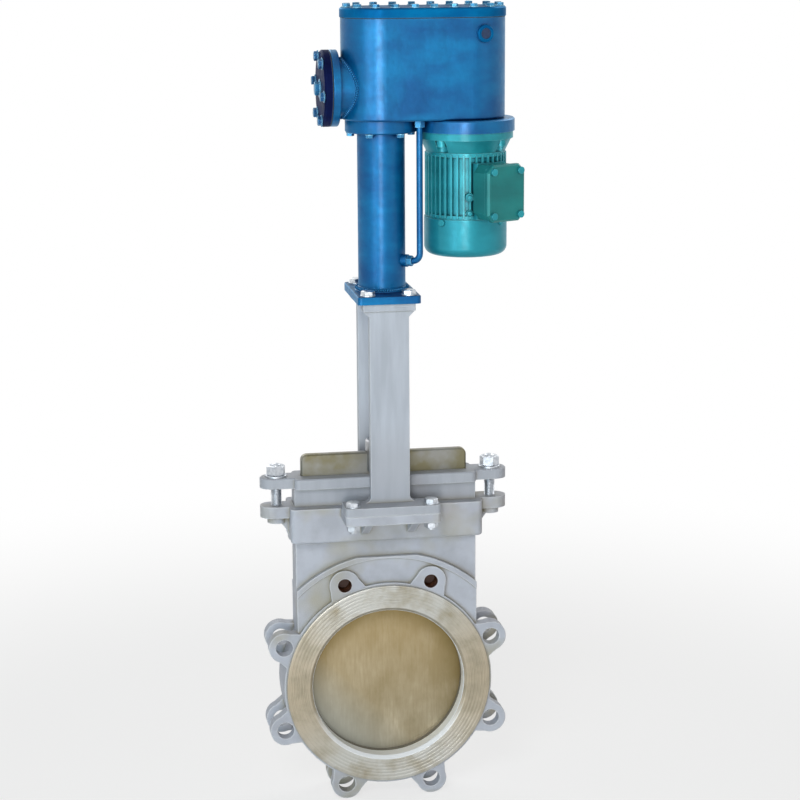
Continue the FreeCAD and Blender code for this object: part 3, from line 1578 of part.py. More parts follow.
def cut_corner_block(half_width, z0, z1, y0, y1, cut):
    """A block with its four corners cut off, seen from the front."""
    points = [
        Vector(-half_width + cut, y0, z0), Vector(half_width - cut, y0, z0), Vector(half_width, y0, z0 + cut),
        Vector(half_width, y0, z1 - cut), Vector(half_width - cut, y0, z1), Vector(-half_width + cut, y0, z1),
        Vector(-half_width, y0, z1 - cut), Vector(-half_width, y0, z0 + cut)]
    return extruded(points, Vector(0, y1 - y0, 0))


def terminal_box():
    seat = -box_face + terminal_lid_thickness
    low = terminal_bottom
    high = terminal_bottom + terminal_height
    wall = terminal_wall
    body = cut_corner_block(terminal_half_width, low, high, seat, -box_back, terminal_corner_cut)
    room = cut_corner_block(terminal_half_width - wall, low + wall, high - wall, seat, -box_back - wall,
                            terminal_corner_cut)
    posts = []
    for x, z in lid_screw_places():
        posts.append(cylinder(m5_head_radius, box_face - terminal_lid_thickness - box_back,
                              Vector(x, seat, z), FLOW).common(body))
    tools = []
    for x, z in lid_screw_places():
        tools.append(cylinder(m5_radius + thread_gap, m5_depth, Vector(x, seat, z), FLOW))
    middle_y = (seat - box_back) / 2
    tools.append(cylinder(entry_radius, wall + 1, Vector(0, middle_y, low - 0.5)))
    window_half = pad_half_width - window_side_margin - window_step
    margin = window_end_margin + window_step
    tools.append(slab(-window_half, window_half, -box_back - wall - 1, -box_back + 1,
                      low + margin, high - margin))
    return terminal_frame(cut_by(fused([body.cut(room)] + posts), tools))


def terminal_box_lid():
    over = terminal_lid_overhang
    seat = -box_face + terminal_lid_thickness
    lid = cut_corner_block(terminal_half_width + over, terminal_bottom - over,
                           terminal_bottom + terminal_height + over, -box_face, seat, terminal_corner_cut)
    front = [edge for edge in lid.Edges
             if abs(edge.BoundBox.YMin + box_face) < 1e-6 and abs(edge.BoundBox.YMax + box_face) < 1e-6]
    lid = lid.makeChamfer(2.5, front)
    tools = [cylinder(m5_radius + thread_gap * 2, terminal_lid_thickness, Vector(x, -box_face, z), FLOW)
             for x, z in lid_screw_places()]
    return terminal_frame(cut_by(lid, tools))


# The whole assembly

def assembly():
    studs, gland_nuts, washers = gland_fasteners()
    foot_bolts, foot_nuts = foot_fasteners()
    glass_body, glass_lens = level_glass()
    return {
        "valve_body": cut_by(body_solid(), body_spaces()),
        "seat_rings": seat_rings(),
        "gate_guides": gate_guides(),
        "packing_rings": packing_rings(),
        "gland_follower": gland_follower(),
        "gland_studs": studs,
        "gland_nuts": gland_nuts,
        "gland_washers": washers,
        "yoke_leg_front": yoke_leg(-1),
        "yoke_leg_rear": yoke_leg(1),
        "yoke_foot_bolts": foot_bolts,
        "yoke_foot_nuts": foot_nuts,
        "cylinder_plate_screws": plate_screws(),
        "gate": gate_plate(),
        "rod_clevis": rod_clevis(),
        "clevis_pin": clevis_pin(),
        "clevis_split_pin": split_pin(),
        "piston_rod": piston_rod(),
        "piston": piston(),
        "piston_seals": piston_seals(),
        "cylinder_barrel": cylinder_barrel(),
        "rod_guide": rod_guide(),
        "rod_seals": rod_seals(),
        "cylinder_end_cap": cylinder_end_cap(),
        "oil_pipe": oil_pipe(),
        "pipe_union_nuts": pipe_union_nuts(),
        "tank_shell": tank_shell(),
        "tank_lid_gasket": tank_gasket(),
        "tank_lid": tank_lid(),
        "tank_bolts": tank_bolts(),
        "side_cover_gasket": side_cover_gasket(),
        "side_cover": side_cover(),
        "side_cover_bolts": side_cover_bolts(),
        "side_cover_plug": side_cover_plug(),
        "level_glass_body": glass_body,
        "level_glass_lens": glass_lens,
        "valve_block": valve_block(),
        "cap_side_pipe": cap_side_pipe(),
        "suction_strainer": suction_strainer(),
        "pump_housing": pump_housing(),
        "pump_cover": pump_cover(),
        "pump_drive_gear": pump_drive_gear(),
        "pump_idler_gear": pump_idler_gear(),
        "shaft_coupling": shaft_coupling(),
        "shaft_seal": shaft_seal(),
        "motor_adapter": motor_adapter(),
        "motor_mount_screws": motor_mount_screws(),
        "front_end_shield": front_end_shield(),
        "motor_frame": motor_frame(),
        "stator_core": stator_core(),
        "stator_windings": stator_windings(),
        "rotor_shaft": rotor_shaft(),
        "rotor_core": rotor_core(),
        "motor_bearings": motor_bearings(),
        "rear_end_shield": rear_end_shield(),
        "cooling_fan": cooling_fan(),
        "fan_cowl": fan_cowl(),
        "motor_small_screws": motor_small_screws(),
        "terminal_box": terminal_box(),
        "terminal_box_lid": terminal_box_lid()}


def main():
    os.makedirs("parts", exist_ok=True)
    for name, shape in assembly().items():
        shape.exportStep("parts/" + name + ".step")
        print(name, len(shape.Solids), round(shape.Volume), shape.isValid())


main()
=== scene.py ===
# %% [markdown]
# # A hydraulic gate valve
#
# The real object is a DN 200 knife gate valve: a flat steel plate slides down between two pipe flanges
# and shuts the line. Above it stands a small hydraulic unit: a cylinder that pulls the plate up, an oil
# tank, and an electric motor that hangs under the tank and drives a gear pump inside it.
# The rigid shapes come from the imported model. This script gives them their finishes, adds the small
# shapes that a close view shows, and puts the whole in plain light.

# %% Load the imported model
import math
import bmesh
import bpy
from mathutils import Matrix, Vector


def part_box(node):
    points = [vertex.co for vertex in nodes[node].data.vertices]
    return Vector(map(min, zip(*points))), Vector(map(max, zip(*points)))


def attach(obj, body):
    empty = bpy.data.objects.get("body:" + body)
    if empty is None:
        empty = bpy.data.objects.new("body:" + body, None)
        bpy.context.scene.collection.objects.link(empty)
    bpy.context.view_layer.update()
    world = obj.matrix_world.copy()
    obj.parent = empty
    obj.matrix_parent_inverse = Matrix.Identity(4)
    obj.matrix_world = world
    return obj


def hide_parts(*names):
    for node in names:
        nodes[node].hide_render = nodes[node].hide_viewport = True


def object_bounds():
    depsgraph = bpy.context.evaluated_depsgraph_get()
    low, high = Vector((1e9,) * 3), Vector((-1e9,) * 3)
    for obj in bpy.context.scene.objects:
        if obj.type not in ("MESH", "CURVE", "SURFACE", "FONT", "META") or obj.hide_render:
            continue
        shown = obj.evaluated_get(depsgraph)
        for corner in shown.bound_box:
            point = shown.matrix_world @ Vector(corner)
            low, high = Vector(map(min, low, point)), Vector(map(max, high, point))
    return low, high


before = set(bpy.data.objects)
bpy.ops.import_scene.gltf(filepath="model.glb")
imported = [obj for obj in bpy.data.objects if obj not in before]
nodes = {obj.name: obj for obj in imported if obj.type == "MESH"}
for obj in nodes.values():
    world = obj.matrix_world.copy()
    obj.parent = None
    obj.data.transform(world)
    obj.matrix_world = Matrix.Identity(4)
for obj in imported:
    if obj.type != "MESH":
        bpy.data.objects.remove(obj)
cad_low, cad_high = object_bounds()
scene = bpy.context.scene
print("nodes", len(nodes), "CAD box in metres", [round(v, 3) for v in (*cad_low, *cad_high)])

# %% [markdown]
# ## Two small helpers
#
# Drawings of such a valve are in millimetres and Blender works in metres, so one value turns one into
# the other. Paint colours are picked as sRGB hex codes, which is how a screen shows them. The renderer
# adds light in linear values, so each code is turned to linear once, here.

# %% Millimetres and colours
MM = 0.001
FULL_TURN = 2 * math.pi


def linear(code):
    """The linear colour of a hex code, by the sRGB standard's formula, with an alpha of 1."""
    parts = [int(code[i:i + 2], 16) / 255 for i in (1, 3, 5)]
    return tuple(p / 12.92 if p <= 0.04045 else ((p + 0.055) / 1.055) ** 2.4 for p in parts) + (1.0,)


print("a blue of #046CA2 in linear values", [round(v, 3) for v in linear("#046CA2")])

# %% [markdown]
# ## The camera
#
# The photograph was taken from a little to the left of the pipe's axis and from slightly above, with a
# long lens: the tank far above the port is hardly smaller than the port. The camera looks back along a
# direction given by two angles, and a small roll matches the picture's lean.

# %% Camera
TURN = math.radians(9.5)
RISE = math.radians(12.5)
ROLL = math.radians(-0.34)
DISTANCE = 2784.3 * MM
AIM = Vector((22.4, 0.0, 371.9)) * MM
SENSOR_WIDTH = 36.0
IMAGE_WIDTH = 800
FOCAL_PIXELS = 2161.8
SIGHT = 50.0

back = Vector((-math.sin(TURN) * math.cos(RISE), -math.cos(TURN) * math.cos(RISE), math.sin(RISE)))
camera_data = bpy.data.cameras.new("camera")
camera_data.sensor_width = SENSOR_WIDTH
camera_data.lens = FOCAL_PIXELS * SENSOR_WIDTH / IMAGE_WIDTH
camera_data.clip_end = SIGHT
camera = bpy.data.objects.new("camera", camera_data)
camera.location = AIM + back * DISTANCE
looking = back.to_track_quat("Z", "Y").to_matrix()
camera.rotation_euler = (looking @ Matrix.Rotation(ROLL, 3, "Z")).to_euler()
scene.collection.objects.link(camera)
scene.camera = camera
print("lens", round(camera_data.lens, 1), "mm, camera at", [round(v, 2) for v in camera.location])

# %% [markdown]
# ## Adding shader nodes
#
# Every finish below is a small network of shader nodes. One function adds a node with its own settings,
# such as an operation, and has its inputs fed. An input is a number, a colour's hex code, another node,
# or one named output of a node.

# %% One function that adds a node


def feed(node, inputs):
    """Sets or joins inputs. A node that is given whole is joined by the first of its outputs in use."""
    for name, value in inputs.items():
        if isinstance(value, bpy.types.Node):
            value = next(output for output in value.outputs if output.enabled)
        if isinstance(value, bpy.types.NodeSocket):
            node.id_data.links.new(value, node.inputs[name])
        else:
            node.inputs[name].default_value = linear(value) if isinstance(value, str) else value


def add(tree, kind, inputs=None, **settings):
    """A new node of a kind, with its settings made and its inputs fed."""
    node = tree.nodes.new("ShaderNode" + kind)
    for name, value in settings.items():
        setattr(node, name, value)
    feed(node, inputs or {})
    return node


print("shader helpers ready")

# %% [markdown]
# ## Floor, backdrop and light
#
# The photograph is a cut-out on white. A plain floor is kept under the valve so that it stands on
# something and throws a soft shadow. The floor is pale paint near the valve and fades to pure white
# further out, where it meets the white world, so no horizon shows. The world is white where it is seen,
# in reflections and through glass, and a much weaker white in the light that it sheds on the object.

# %% World
SKY_LIGHT = 0.09
WHITE = "#FFFFFF"


def backdrop_rays(tree):
    """1 for a ray that shows what is behind: straight, off a gloss or through glass. 0 for the others."""
    path = add(tree, "LightPath")
    direct = add(tree, "Math", {0: path.outputs["Is Camera Ray"], 1: path.outputs["Is Glossy Ray"]},
                 operation="MAXIMUM")
    return add(tree, "Math", {0: direct, 1: path.outputs["Is Transmission Ray"]}, operation="MAXIMUM")


world = bpy.data.worlds.new("studio")
scene.world = world
world.use_nodes = True
tree = world.node_tree
tree.nodes.clear()
shed = add(tree, "Background", {"Color": WHITE, "Strength": SKY_LIGHT})
shown = add(tree, "Background", {"Color": WHITE, "Strength": 1.0})
mixed = add(tree, "MixShader", {0: backdrop_rays(tree), 1: shed, 2: shown})
add(tree, "OutputWorld", {"Surface": mixed})
print("world sheds", SKY_LIGHT, "and shows 1.0")

# %% Floor
FLOOR_REACH = 12.0
PALE_REACH = 0.55
WHITE_REACH = 1.6
WHITE_UNDER_VALVE = 0.7
FLOOR_HEIGHT = cad_low.z - 0.05 * MM
bm = bmesh.new()
bmesh.ops.create_circle(bm, cap_ends=True, radius=FLOOR_REACH, segments=64)
bmesh.ops.translate(bm, verts=bm.verts, vec=(0, 0, FLOOR_HEIGHT))
floor_mesh = bpy.data.meshes.new("floor")
bm.to_mesh(floor_mesh)
bm.free()
floor = bpy.data.objects.new("floor", floor_mesh)
scene.collection.objects.link(floor)

floor_paint = bpy.data.materials.new("floor_paint")
floor_paint.use_nodes = True
tree = floor_paint.node_tree
tree.nodes.clear()
place = add(tree, "TexCoord").outputs["Object"]
flat = add(tree, "VectorMath", {0: place, 1: (1, 1, 0)}, operation="MULTIPLY")
away = add(tree, "VectorMath", {0: flat}, operation="LENGTH")
fade = add(tree, "MapRange", {"Value": away, "From Min": PALE_REACH, "From Max": WHITE_REACH,
                              "To Min": WHITE_UNDER_VALVE}, interpolation_type="SMOOTHSTEP")
share = add(tree, "Math", {0: backdrop_rays(tree), 1: fade}, operation="MULTIPLY")
paint = add(tree, "BsdfDiffuse", {"Color": "#F4F4F2", "Roughness": 0.0})
white = add(tree, "Emission", {"Color": WHITE, "Strength": 1.0})
mixed = add(tree, "MixShader", {0: share, 1: paint, 2: white})
add(tree, "OutputMaterial", {"Surface": mixed})
floor_mesh.materials.append(floor_paint)
print("floor at", round(FLOOR_HEIGHT / MM, 2), "mm")

# %% [markdown]
# The light on the blue tank comes from the front and a little from the left, and its round ends fall
# off into a deep blue. One soft lamp does that. The tank, the tube and the motor also show an upright
# streak of light on their left half. An upright wall mirrors only what stands low, so the streak comes
# from a round lamp that stands low beside the camera. A second low lamp, further left and a little
# colder, widens the streak to a satin band. A weak lamp from the right keeps the motor's side open. The
# last two stand high behind the object and light its back and its right side, with no glint in its
# upright edges. Each row gives a lamp's place and width in metres, its watts and its colour.

# %% Lamps
COLD_WHITE = "#CDEEFF"
LAMPS = {
    "key": ((-0.95, -2.3, 1.9), 1.0, 19.5, WHITE),
    "streak": ((-0.6, -3.05, 0.45), 1.0, 32.0, WHITE),
    "side": ((-1.9, -2.3, 0.5), 1.3, 18.0, COLD_WHITE),
    "fill": ((1.9, -1.7, 1.2), 1.6, 3.0, WHITE),
    "back": ((-0.6, 2.2, 1.6), 1.4, 14.0, WHITE),
    "far side": ((1.7, 1.4, 2.0), 1.5, 18.0, WHITE),
}
for name, (spot, width, watts, colour) in LAMPS.items():
    lamp_data = bpy.data.lights.new(name, "AREA")
    lamp_data.shape = "DISK"
    lamp_data.size = width
    lamp_data.energy = watts
    lamp_data.color = linear(colour)[:3]
    lamp = bpy.data.objects.new(name, lamp_data)
    lamp.location = spot
    lamp.rotation_euler = (Vector(spot) - AIM).to_track_quat("Z", "Y").to_euler()
    scene.collection.objects.link(lamp)
    print("lamp", name, watts, "W")

scene.view_settings.view_transform = "Standard"

# %% [markdown]
# ## The parts that every finish shares
#
# Real parts have slightly rounded edges, and a rounded edge catches a thin line of light. The packed
# model's small edges are sharp, so each finish rounds them in shading with a Bevel node. On top of that
# comes a relief, such as the grain of a casting. A noise's scale is one over the size of its grain. A
# share that goes from 0 to 1 says where one colour lies over another.

# %% Pieces of a finish
UP = Vector((0, 0, 1))


def start_finish(name, **inputs):
    """A new material with a Principled shader, and the object's own coordinates to place patterns by."""
    material = bpy.data.materials.new(name)
    material.use_nodes = True
    tree = material.node_tree
    tree.nodes.clear()
    place = add(tree, "TexCoord").outputs["Object"]
    shader = add(tree, "BsdfPrincipled", inputs)
    add(tree, "OutputMaterial", {"Surface": shader})
    return material, tree, place, shader


def grain(tree, place, size_mm, detail=3.0, stretch=(1, 1, 1)):
    """A noise whose grain is size_mm across, longer along an axis where stretch is small."""
    stretched = add(tree, "Mapping", {"Vector": place, "Scale": stretch})
    return add(tree, "TexNoise", {"Vector": stretched, "Scale": 1 / (size_mm * MM), "Detail": detail,
                                  "Roughness": 0.55})


def patches(tree, place, size_mm, low, high, detail=5, stretch=(1, 1, 1), least=0.0, most=1.0):
    """Clouds from least to most. The nearer low and high are to each other, the harder their edges."""
    noise = grain(tree, place, size_mm, detail, stretch)
    return add(tree, "MapRange", {"Value": noise, "From Min": low, "From Max": high,
                                  "To Min": least, "To Max": most})


def zone(tree, place, way, start_mm, end_mm, most=1.0):
    """A share that grows from 0 at start_mm to most at end_mm, both measured along way from the origin."""
    along = add(tree, "VectorMath", {0: place, 1: way}, operation="DOT_PRODUCT")
    return add(tree, "MapRange", {"Value": along, "From Min": start_mm * MM, "From Max": end_mm * MM,
                                  "To Max": most})


def coats(tree, colour, *layers):
    """Lays colours over a first one. Each layer is a share and the colour that it brings."""
    for share, over in layers:
        colour = add(tree, "Mix", {0: share, 6: colour, 7: over}, data_type="RGBA")
    return colour


def painted_corner_shade(tree, reach_mm):
    """Nearly 1 in a corner or beside a neighbour and 0 in the open: where painted shade goes."""
    shade = add(tree, "AmbientOcclusion", {"Distance": reach_mm * MM}, samples=6)
    return add(tree, "MapRange", {"Value": shade.outputs["AO"], "From Min": 0.35, "From Max": 0.8,
                                  "To Min": 1, "To Max": 0})


def rubbed_and_highlit_edges(tree, reach_mm):
    """Nearly 1 along an outer edge and 0 on a flat: where the coat is thin and rubbed, and where a painted
    highlight goes.
    """
    shade = add(tree, "AmbientOcclusion", {"Distance": reach_mm * MM}, samples=6, inside=True)
    return add(tree, "MapRange", {"Value": shade.outputs["AO"], "From Min": 0.45, "From Max": 0.85,
                                  "To Min": 1, "To Max": 0})


def relief(tree, shader, height, depth_mm, edge_mm):
    """Rounds edges by edge_mm in shading and raises the surface by height times depth_mm."""
    rounded = add(tree, "Bevel", {"Radius": edge_mm * MM}, samples=4)
    raised = add(tree, "Bump", {"Height": height, "Normal": rounded, "Strength": 1.0,
                                "Distance": depth_mm * MM})
    feed(shader, {"Normal": raised})


print("finish helpers ready")

# %% [markdown]
# ## Enamel on steel and cast iron
#
# The tank, the cylinder and the motor are brushed or sprayed with enamel. Such paint is glossy but never
# flat: it shows the filler and hammer marks under it as broad soft dents, and a fine orange peel from
# spraying. Its colour varies where the coat is thin. It is painted darker in the corners as painted shade,
# and lighter on the edges, where the coat is rubbed and a painted highlight lies. Hammer enamel holds
# fine metal flake under a clear top, so it has a broad satin glow in its own colour with a whiter glint in
# the middle. One function makes all of the enamels. On the lid and the cylinder's plate, a painted dark
# top in clouds is painted shade and painted dark reflection.

# %% Enamel
PATCH_SIZE = 30
RUB_AND_HIGHLIGHT_REACH = 1.2
PEEL_SIZE = 2.2
PEEL_DEPTH = 0.05
DARK_TOP_EDGE = 0.3


def enamel(name, codes, roughness, dent_mm, dent_depth_mm, edge_mm, shade_reach_mm=9, flake_share=0.35,
           shine=0.3, clear_coat=0.25, painted_dark_top=None):
    """Enamel in its full and thin colours, a painted shade in corners, rubbed edges with a painted highlight,
    and a painted dark top between two heights.
    """
    full, thin, corner_shade, rubbed_and_highlit = codes
    material, tree, place, shader = start_finish(name, **{
        "Metallic": flake_share, "Specular IOR Level": shine, "Specular Tint": "#A8ECFF",
        "Coat Weight": clear_coat, "Coat Roughness": 0.25})
    colour = coats(tree, full,
                   (patches(tree, place, PATCH_SIZE, 0.36, 0.66, stretch=(0.45, 0.45, 1)), thin),
                   (painted_corner_shade(tree, shade_reach_mm), corner_shade),
                   (rubbed_and_highlit_edges(tree, RUB_AND_HIGHLIGHT_REACH), rubbed_and_highlit))
    # A painted dark top: painted shade and painted dark reflection on the top face, in clouds.
    if painted_dark_top:
        low, high, darkest = painted_dark_top
        dark_top_band = add(tree, "Math", {0: zone(tree, place, UP, low - DARK_TOP_EDGE, low),
                                  1: zone(tree, place, UP, high + DARK_TOP_EDGE, high)}, operation="MULTIPLY")
        clouds = patches(tree, place, 18, 0.35, 0.6, 4, least=0.6)
        dark_top_share = add(tree, "Math", {0: dark_top_band, 1: clouds}, operation="MULTIPLY")
        colour = coats(tree, colour, (dark_top_share, darkest))
    worn = patches(tree, place, 9, 0.35, 0.7, least=roughness - 0.06, most=roughness + 0.12)
    feed(shader, {"Base Color": colour, "Roughness": worn})
    dents = add(tree, "Math", {0: grain(tree, place, dent_mm, 2), 1: dent_depth_mm}, operation="MULTIPLY")
    peel = add(tree, "Math", {0: grain(tree, place, PEEL_SIZE, 2), 1: PEEL_DEPTH, 2: dents},
               operation="MULTIPLY_ADD")
    relief(tree, shader, peel, 1.0, edge_mm)
    return material


print("peel grain", PEEL_SIZE, "mm, which is as fine as the picture can show")

# %% The object's enamels
M10_HEAD = 6.4
PLATE_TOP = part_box("cylinder_plate_screws")[1].z / MM - M10_HEAD
LID_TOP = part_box("tank_lid")[1].z / MM
# Four colours each: full, thin, painted corner shade, and a rubbed edge colour with a painted highlight.
BLUE = ("#046CA2", "#045088", "#062A5A", "#3A8CC0")
# Painted shade: this navy stands for the tank's blue on a face turned away from the light.
SHADED_COVER_BLUE = ("#121A4A", "#0E1338", "#0A0D28", "#2A4E8C")
GREEN = ("#2EA2AE", "#208894", "#0E4650", "#50AEB4")
BOX_GREEN = ("#238683", "#1E7473", "#0E4448", "#45A09C")
COWL_GREEN = ("#2896A6", "#1E8492", "#0F4C58", "#56B4BC")
BOLT_BLUE = ("#4A9CC8", "#2E7CB0", "#15406F", "#8CC6DE")
# Painted shade: the cover bolts' darker blue.
SHADED_COVER_BOLT_BLUE = ("#2C6AA0", "#1C4C80", "#0F264F", "#7CB4D2")

# Bent sheet steel under hammer enamel: broad dents in a blue satin glow.
tank_enamel = enamel("blue_enamel_on_sheet_steel", BLUE, 0.38, 22, 0.9, 1.2, flake_share=0.45, clear_coat=0.3)
# The tube has more flake and less gloss, and a painted dark top on its plate as painted shade.
barrel_enamel = enamel("blue_enamel_with_painted_dark_top", BLUE, 0.48, 22, 0.7, 1.2, flake_share=0.55,
                       painted_dark_top=(PLATE_TOP - 0.2, PLATE_TOP + 0.4, "#122A5C"))
# Flat lid plate: no clear top, and nearly navy on top, where a painted dark reflection lies.
lid_enamel = enamel("blue_enamel_on_lid_plate", BLUE, 0.44, 26, 0.4, 1.0, shine=0.06, clear_coat=0.0,
                    painted_dark_top=(LID_TOP - 0.2, LID_TOP + 1, "#141F52"))
# The side cover's navy is painted shade on the tank's blue, and dull, because it hardly mirrors the white
# around it.
cover_enamel_in_painted_shade = enamel("blue_enamel_in_painted_shade_on_cover", SHADED_COVER_BLUE, 0.5, 26, 0.4, 1.0, flake_share=0.05, shine=0.04,
                      clear_coat=0.0)
# Small turned parts have thin, bright and glossy paint, darker on the cover as painted shade.
bolt_enamel = enamel("blue_enamel_on_small_parts", BOLT_BLUE, 0.26, 12, 0.1, 0.4)
cover_bolt_enamel_in_painted_shade = enamel("blue_enamel_in_painted_shade_on_cover_bolts", SHADED_COVER_BOLT_BLUE, 0.26, 12, 0.1, 0.4)
# Paint runs smooth over a weld's scales.
weld_enamel = enamel("blue_enamel_on_weld", BLUE, 0.30, 6, 0.2, 0.5)
# Cast iron has small dents, and thin fins leave only narrow nooks for the painted corner shade.
motor_enamel = enamel("green_enamel_on_cast_motor", GREEN, 0.42, 7, 0.25, 0.7, shade_reach_mm=4)
box_enamel = enamel("green_enamel_on_cast_box", BOX_GREEN, 0.42, 9, 0.25, 0.7, flake_share=0.15)
# The pressed cowl is nearly smooth.
cowl_enamel = enamel("green_enamel_on_sheet_cowl", COWL_GREEN, 0.4, 30, 0.3, 0.8)
print("plate top at", round(PLATE_TOP, 1), "mm, lid top at", round(LID_TOP, 1), "mm")

# %% [markdown]
# ## The painted valve body and its machined faces
#
# The body is a sand casting under silver-grey paint, so its skin is softly rough. Its corners are painted
# darker as painted shade, and its outer edges lighter, as rubbed paint and painted highlight. After
# painting, the two pipe faces and the bore were turned on a lathe, which leaves bare steel with fine rings
# around the bore. The bore's wall and the foot of its chamfer are painted a matt near white as painted
# light, where light from above falls on the bore's floor. The tapped holes at the top are brown with oil
# and rust. Where each finish starts follows from the distance to the bore's axis, so one material can
# hold them all.

# %% Cast body
FLANGE_FACE = 35.0
FACE_PLANE = 34.8
FACE_RADIUS = 134.4
CHAMFER_RADIUS = 104.6
BORE_WALL = 100.6
BOLT_CIRCLE = 147.5
BOLT_STEP = math.radians(45)
TAPPED_RADIUS = 9.1
RING_PITCH = 1.6
BARE_STEEL = 0.8
LIT_FOOT_FROM_TO = (-30, -85)
WAVE_RATE = FULL_TURN / 20


def in_plane(tree, place):
    """The place with its Y taken out, as seen along the bore's axis."""
    return add(tree, "VectorMath", {0: place, 1: (1, 0, 1)}, operation="MULTIPLY")


def face_tint(tree, place):
    """Turned steel: grey above and below the bore, and browner at its two sides, with soft clouds."""
    outward = add(tree, "VectorMath", {0: in_plane(tree, place)}, operation="NORMALIZE")
    sideways = add(tree, "SeparateXYZ", {"Vector": outward})
    share = add(tree, "Math", {0: sideways.outputs["X"]}, operation="ABSOLUTE")
    brown = add(tree, "MapRange", {"Value": share, "From Min": 0.55})
    return coats(tree, "#C0C0BA", (brown, "#B9AD97"), (patches(tree, place, 24, 0.42, 0.75), "#9E9682"))


cast_body, tree, place, shader = start_finish("silver_paint_on_sand_casting")
split = add(tree, "SeparateXYZ", {"Vector": place})
depth = add(tree, "Math", {0: split.outputs["Y"]}, operation="ABSOLUTE")
flat = in_plane(tree, place)
radius = add(tree, "VectorMath", {0: flat}, operation="LENGTH")
in_face, in_chamfer, in_wall = [add(tree, "Math", {0: radius, 1: reach * MM}, operation="LESS_THAN")
                                for reach in (FACE_RADIUS, CHAMFER_RADIUS, BORE_WALL)]
proud = add(tree, "Math", {0: depth, 1: FACE_PLANE * MM}, operation="GREATER_THAN")
turned = add(tree, "Math", {0: in_face, 1: proud}, operation="MULTIPLY")
turned = add(tree, "Math", {0: turned, 1: in_chamfer}, operation="MAXIMUM")
# The bore's wall and the foot of its chamfer get a matt near white: painted light on the bore's floor.
low_down = zone(tree, place, UP, *LIT_FOOT_FROM_TO)
lit_foot = add(tree, "Math", {0: in_chamfer, 1: low_down}, operation="MULTIPLY")
bore_painted_light = add(tree, "Math", {0: in_wall, 1: lit_foot}, operation="MAXIMUM")
print("bare steel from the bore out to", FACE_RADIUS, "mm")

# %% The tapped holes' place
mirrored = add(tree, "VectorMath", {0: flat}, operation="ABSOLUTE")
hole_at = Vector((math.sin(BOLT_STEP / 2), 0, math.cos(BOLT_STEP / 2))) * BOLT_CIRCLE * MM
to_hole = add(tree, "VectorMath", {0: mirrored, 1: hole_at}, operation="DISTANCE")
near_hole = add(tree, "Math", {0: to_hole, 1: TAPPED_RADIUS * MM}, operation="LESS_THAN")
above = add(tree, "Math", {0: split.outputs["Z"], 1: 0.0}, operation="GREATER_THAN")
in_hole = add(tree, "Math", {0: near_hole, 1: above}, operation="MULTIPLY")
print("tapped holes at", [round(v / MM, 1) for v in hole_at], "mm and mirrored")

# %% Paint, turned steel and polished bore
# The corner colour is painted shade, and the light edge colour is rubbed paint and painted highlight.
paint = coats(tree, "#BABEC7",
              (patches(tree, place, 40, 0.4, 0.65), "#A9ACB4"),
              (patches(tree, place, 90, 0.5, 0.72, 3), "#A9A492"),
              (painted_corner_shade(tree, 10), "#8C8670"),
              (rubbed_and_highlit_edges(tree, 2.4), "#DFE1E4"))
# The near white in the bore is painted light.
surface = coats(tree, paint, (turned, face_tint(tree, place)), (bore_painted_light, "#F1F3F4"), (in_hole, "#4A2E22"))
bare = add(tree, "Math", {0: turned, 1: BARE_STEEL}, operation="MULTIPLY")
bare = add(tree, "Math", {0: bore_painted_light, 1: -BARE_STEEL, 2: bare}, operation="MULTIPLY_ADD")
gloss = add(tree, "MapRange", {"Value": turned, "To Min": 0.5, "To Max": 0.36})
feed(shader, {"Base Color": surface, "Metallic": bare, "Roughness": gloss})
skin = grain(tree, place, 1.6, 4)
rings = add(tree, "TexWave", {"Vector": place, "Scale": WAVE_RATE / (RING_PITCH * MM), "Distortion": 0.0},
            wave_type="RINGS", rings_direction="Y")
ring_height = add(tree, "Math", {0: rings.outputs["Fac"], 1: 0.25}, operation="MULTIPLY")
height = add(tree, "Mix", {0: turned, 2: skin, 3: ring_height}, data_type="FLOAT")
relief(tree, shader, height, 0.28, 2.2)
print("body paint and turned steel, ring pitch", RING_PITCH, "mm")

# %% [markdown]
# ## Bare and plated metals
#
# The gate is rolled stainless plate, sanded to a satin shine, with clouds where hands and oil have been.
# Painted shadow of the bore's rim darkens it in a brown ring near the seat, under the rim and towards
# the top, and a painted reflection of the floor turns one low corner a cooler grey. Each is given as where
# it starts and ends, in millimetres, and how strong it gets. Where the plate stands out of the gland it has
# caught some of the silver spray. Screws are zinc plated, and the rod is ground and hard chromed, so
# almost a mirror. The metals differ in colour, roughness and grain.

# %% Metals


def metal(name, code, dull_code, roughness, grain_mm, depth_mm, edge_mm, stretch=(1, 1, 1)):
    """A bare metal, duller and rougher in clouds."""
    material, tree, place, shader = start_finish(name, Metallic=1.0)
    cloud = grain(tree, place, grain_mm, 4, stretch)
    dull = add(tree, "MapRange", {"Value": cloud, "From Min": 0.38, "From Max": 0.66})
    satin = add(tree, "MapRange", {"Value": cloud, "From Min": 0.3, "From Max": 0.7,
                                   "To Min": roughness - 0.05, "To Max": roughness + 0.08})
    feed(shader, {"Base Color": coats(tree, code, (dull, dull_code)), "Roughness": satin})
    relief(tree, shader, cloud, depth_mm, edge_mm)
    return material


# Zinc plate is bright and cloudy, and duller where the silver spray went over it.
zinc = metal("zinc_plated_steel", "#D9DEE2", "#B4BAC0", 0.30, 4, 0.03, 0.4)
silver_zinc = metal("zinc_under_silver_spray", "#C9CDD2", "#AEB3B9", 0.40, 5, 0.05, 0.5)
# Ground chrome has nearly no grain, so it mirrors what stands around it.
chrome = metal("hard_chromed_rod", "#DADDE0", "#CFD2D6", 0.12, 12, 0.005, 0.5)
